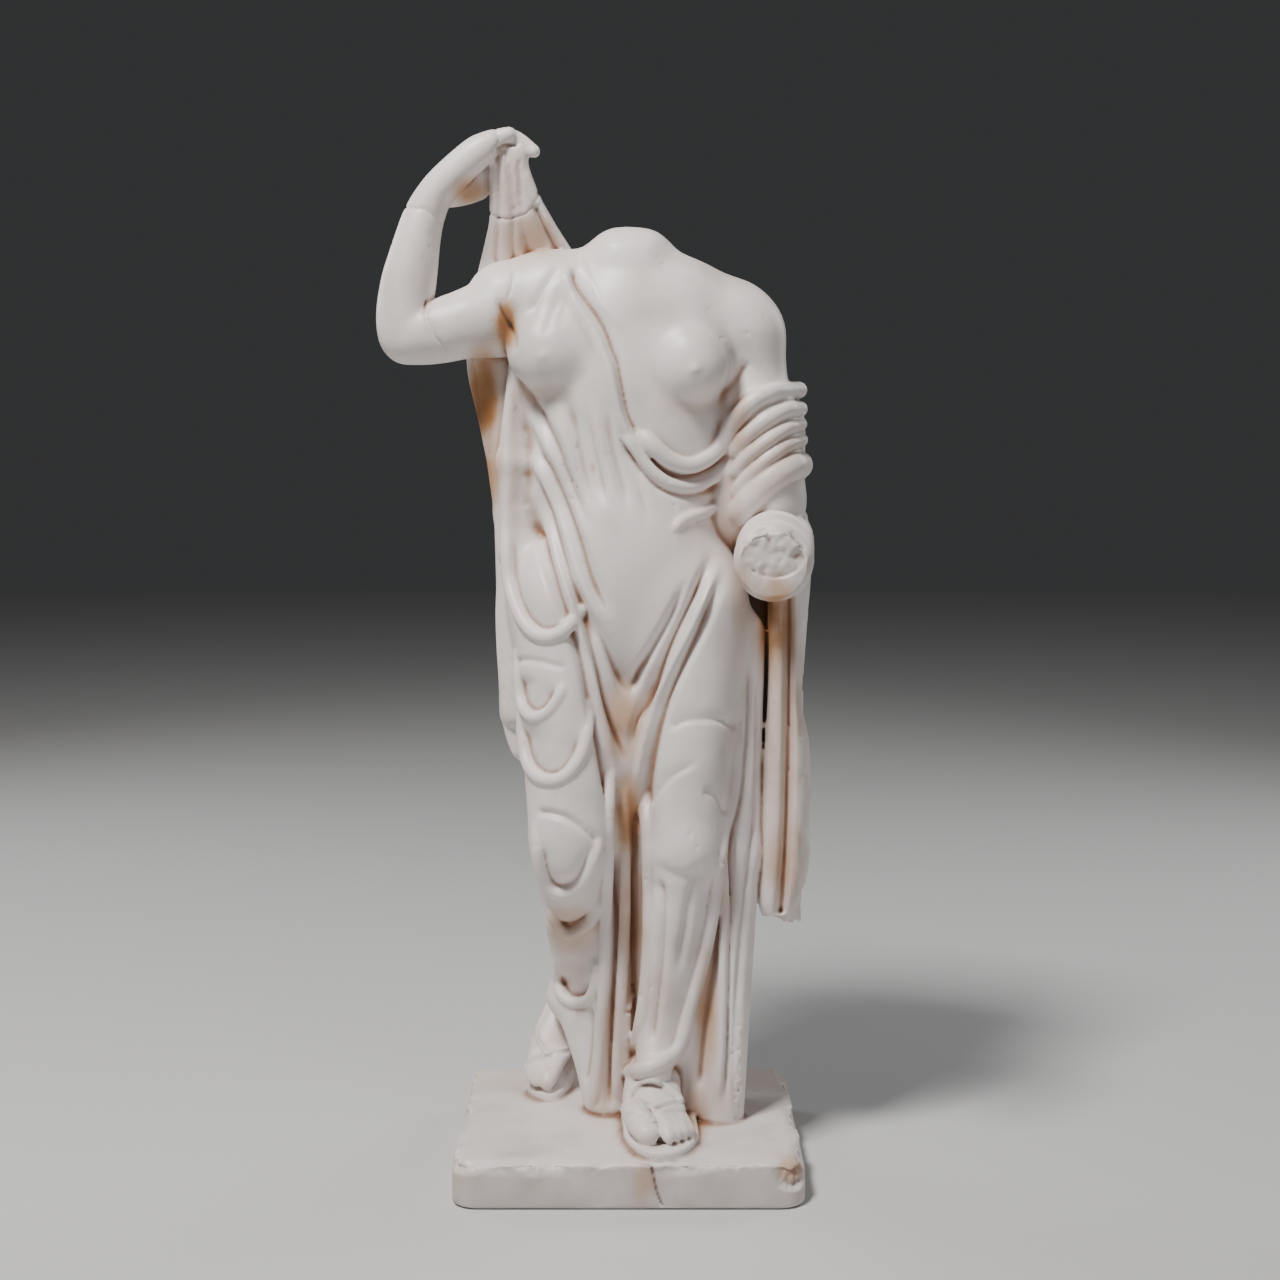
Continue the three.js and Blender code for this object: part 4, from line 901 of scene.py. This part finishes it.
def statue():
    parts = [plinth(), figure(), swept(ARM), *hand(), fan_of_cloth(), hanging_panel(), mantle(), stump(), *rolls()]
    parts += foot(FRONT_TOES, FRONT_FOOT, FRONT_SOLE, lambda y: 0 * y)
    parts += foot(BACK_TOES, BACK_FOOT, BACK_SOLE, raised_heel)
    points, triangles = modified(*joined(parts), "REMESH", mode="VOXEL", voxel_size=GRAIN * MM)
    points = relaxed(points, edges_of(triangles), 3)
    points = worn(points, triangles)
    near, wide = hollows(points, triangles)
    fine = bpy.data.objects.new("fine", mesh_of("fine", points, triangles))
    bpy.context.collection.objects.link(fine)
    for name, values in (("hollow_near", near), ("hollow_wide", wide), ("stain_and_shade", stain_and_shade_at(points)),
                         ("stump_dirt_and_side_shade", side_shade_and_stump_dirt(points, normals_of(points, triangles)))):
        fine.data.attributes.new(name, "FLOAT", "POINT").data.foreach_set("value", values.astype(np.float32))
    fine.modifiers.new("fewer", "DECIMATE").ratio = TRIANGLES / len(triangles)
    made = fine.evaluated_get(bpy.context.evaluated_depsgraph_get())
    mesh = bpy.data.meshes.new_from_object(made)
    bpy.data.objects.remove(fine)
    piece = bpy.data.objects.new("statue_marble", mesh)
    bpy.context.collection.objects.link(piece)
    mesh.polygons.foreach_set("use_smooth", np.ones(len(mesh.polygons), bool))
    mesh.materials.append(marble())
    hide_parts("statue")
    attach(piece, "root")
    return piece


class Nodes:
    """Small helper that adds and links shader nodes."""

    def __init__(self, tree):
        self.tree = tree

    def add(self, kind, values=(), **settings):
        node = self.tree.nodes.new(kind)
        for key, value in settings.items():
            setattr(node, key, value)
        for key, value in dict(values).items():
            if isinstance(value, bpy.types.NodeSocket):
                self.tree.links.new(value, node.inputs[key])
            else:
                node.inputs[key].default_value = value
        return node

    def mixed(self, factor, a, b, blend="MIX"):
        node = self.add("ShaderNodeMix", {0: factor, 6: a, 7: b}, data_type="RGBA", blend_type=blend)
        return node.outputs[2]

    def ranged(self, value, low, high, to_low=0.0, to_high=1.0):
        node = self.add("ShaderNodeMapRange", {0: value, 1: low, 2: high, 3: to_low, 4: to_high},
                        interpolation_type="SMOOTHSTEP")
        return node.outputs[0]

    def math(self, operation, a, b=0.0):
        return self.add("ShaderNodeMath", {0: a, 1: b}, operation=operation).outputs[0]


WARM_WHITE = (0.80, 0.74, 0.72, 1)
GREY_VEIN = (0.64, 0.58, 0.56, 1)
# The tan and honey browns serve real stain and patina and also painted shade; the deepest brown is patina and painted
# shade in the narrow grooves
TAN_STAIN_AND_SHADE = (0.50, 0.29, 0.155, 1)
HONEY_PATINA_AND_SHADE = (0.33, 0.135, 0.045, 1)
DEEP_PATINA_AND_GROOVE_SHADE = (0.05, 0.016, 0.005, 1)


def marble():
    material = bpy.data.materials.new("marble")
    material.use_nodes = True
    tree = material.node_tree
    nodes = Nodes(tree)
    shader = tree.nodes["Principled BSDF"]
    place_on = nodes.add("ShaderNodeTexCoord").outputs["Object"]
    cloud = nodes.add("ShaderNodeTexNoise", {"Vector": place_on, "Scale": 14.0, "Detail": 5.0}).outputs["Fac"]
    speck = nodes.add("ShaderNodeTexNoise", {"Vector": place_on, "Scale": 190.0, "Detail": 3.0}).outputs["Fac"]
    wide = nodes.add("ShaderNodeAttribute", attribute_name="hollow_wide").outputs["Fac"]
    near = nodes.add("ShaderNodeAttribute", attribute_name="hollow_near").outputs["Fac"]
    stain_and_shade = nodes.add("ShaderNodeAttribute", attribute_name="stain_and_shade").outputs["Fac"]
    stump_dirt_and_side_shade = nodes.add("ShaderNodeAttribute", attribute_name="stump_dirt_and_side_shade").outputs["Fac"]
    base = nodes.mixed(nodes.ranged(cloud, 0.45, 0.75), WARM_WHITE, GREY_VEIN)
    # Grey: painted shade on the plinth's sides, and dirt on the broken stump's face
    base = nodes.mixed(stump_dirt_and_side_shade, base, (0.36, 0.30, 0.27, 1))
    mottle = nodes.ranged(cloud, 0.3, 0.7, 0.7, 1.2)
    # Tan: the stain patches, which hold both real stains and painted shade
    painted = nodes.math("MULTIPLY", stain_and_shade, mottle)
    base = nodes.mixed(nodes.math("MINIMUM", painted, 1.0), base, TAN_STAIN_AND_SHADE)
    # Honey brown: patina in the wide hollows, and painted shade where the patches are strongest, under the raised arm,
    # under the broken forearm and in the palm
    sunk = nodes.math("MULTIPLY", nodes.ranged(wide, 0.2, 3.5), 0.9)
    more = nodes.ranged(painted, 0.7, 1.5)
    base = nodes.mixed(nodes.math("MAXIMUM", more, sunk), base, HONEY_PATINA_AND_SHADE)
    # Near-black brown in the narrow grooves: painted shade over the patina, strongest where the patches are
    deep = nodes.math("MULTIPLY", nodes.ranged(near, 0.15, 1.2), nodes.ranged(stain_and_shade, -0.3, 0.8, 0.45, 0.95))
    base = nodes.mixed(deep, base, DEEP_PATINA_AND_GROOVE_SHADE)
    tree.links.new(base, shader.inputs["Base Color"])
    shader.inputs["Roughness"].default_value = 0.42
    bump = nodes.add("ShaderNodeBump", {"Strength": 0.2, "Distance": 0.0005, "Height": speck})
    tree.links.new(bump.outputs[0], shader.inputs["Normal"])
    return material


# Floor, light and camera
def plain(name, color):
    material = bpy.data.materials.new(name)
    material.use_nodes = True
    shader = material.node_tree.nodes["Principled BSDF"]
    shader.inputs["Base Color"].default_value = color
    shader.inputs["Roughness"].default_value = 0.85
    return material


def floor():
    mesh = bpy.data.meshes.new("floor")
    size = 8.0
    mesh.from_pydata([(-size, -size, 0), (size, -size, 0), (size, size, 0), (-size, size, 0)], [], [(0, 1, 2, 3)])
    piece = bpy.data.objects.new("floor", mesh)
    piece.location.z = -0.0005
    bpy.context.collection.objects.link(piece)
    mesh.materials.append(plain("pale_floor", (0.62, 0.62, 0.62, 1)))


def lamp(name, location, energy, size, color=(1, 1, 1)):
    data = bpy.data.lights.new(name, "AREA")
    data.energy, data.size, data.color = energy, size, color
    light = bpy.data.objects.new(name, data)
    light.location = location
    from mathutils import Vector
    light.rotation_euler = (Vector((0, 0, 0.55)) - light.location).to_track_quat("-Z", "Y").to_euler()
    bpy.context.collection.objects.link(light)


def studio():
    lamp("key", (-0.95, -1.3, 2.9), 120, 0.6, (1.0, 0.975, 0.95))
    lamp("fill", (2.3, -2.6, 1.3), 12, 1.0, (0.97, 0.98, 1.0))
    lamp("back_left", (-2.0, 1.5, 1.6), 16, 1.0)
    lamp("back_right", (2.0, 1.3, 1.5), 16, 1.0)
    world = bpy.data.worlds.new("studio")
    world.use_nodes = True
    world.node_tree.nodes["Background"].inputs["Color"].default_value = (0.62, 0.63, 0.65, 1)
    world.node_tree.nodes["Background"].inputs["Strength"].default_value = 0.06
    bpy.context.scene.world = world


def camera():
    data = bpy.data.cameras.new("camera")
    data.sensor_width = 36.0
    data.lens = PICTURE_AT / PICTURE_WIDTH * data.sensor_width
    data.clip_start, data.clip_end = 0.05, 50
    piece = bpy.data.objects.new("camera", data)
    piece.location = EYE * MM
    piece.rotation_euler = (math.pi / 2 - LOOK_DOWN, 0, 0)
    bpy.context.collection.objects.link(piece)
    bpy.context.scene.camera = piece


camera()
studio()
floor()
statue()
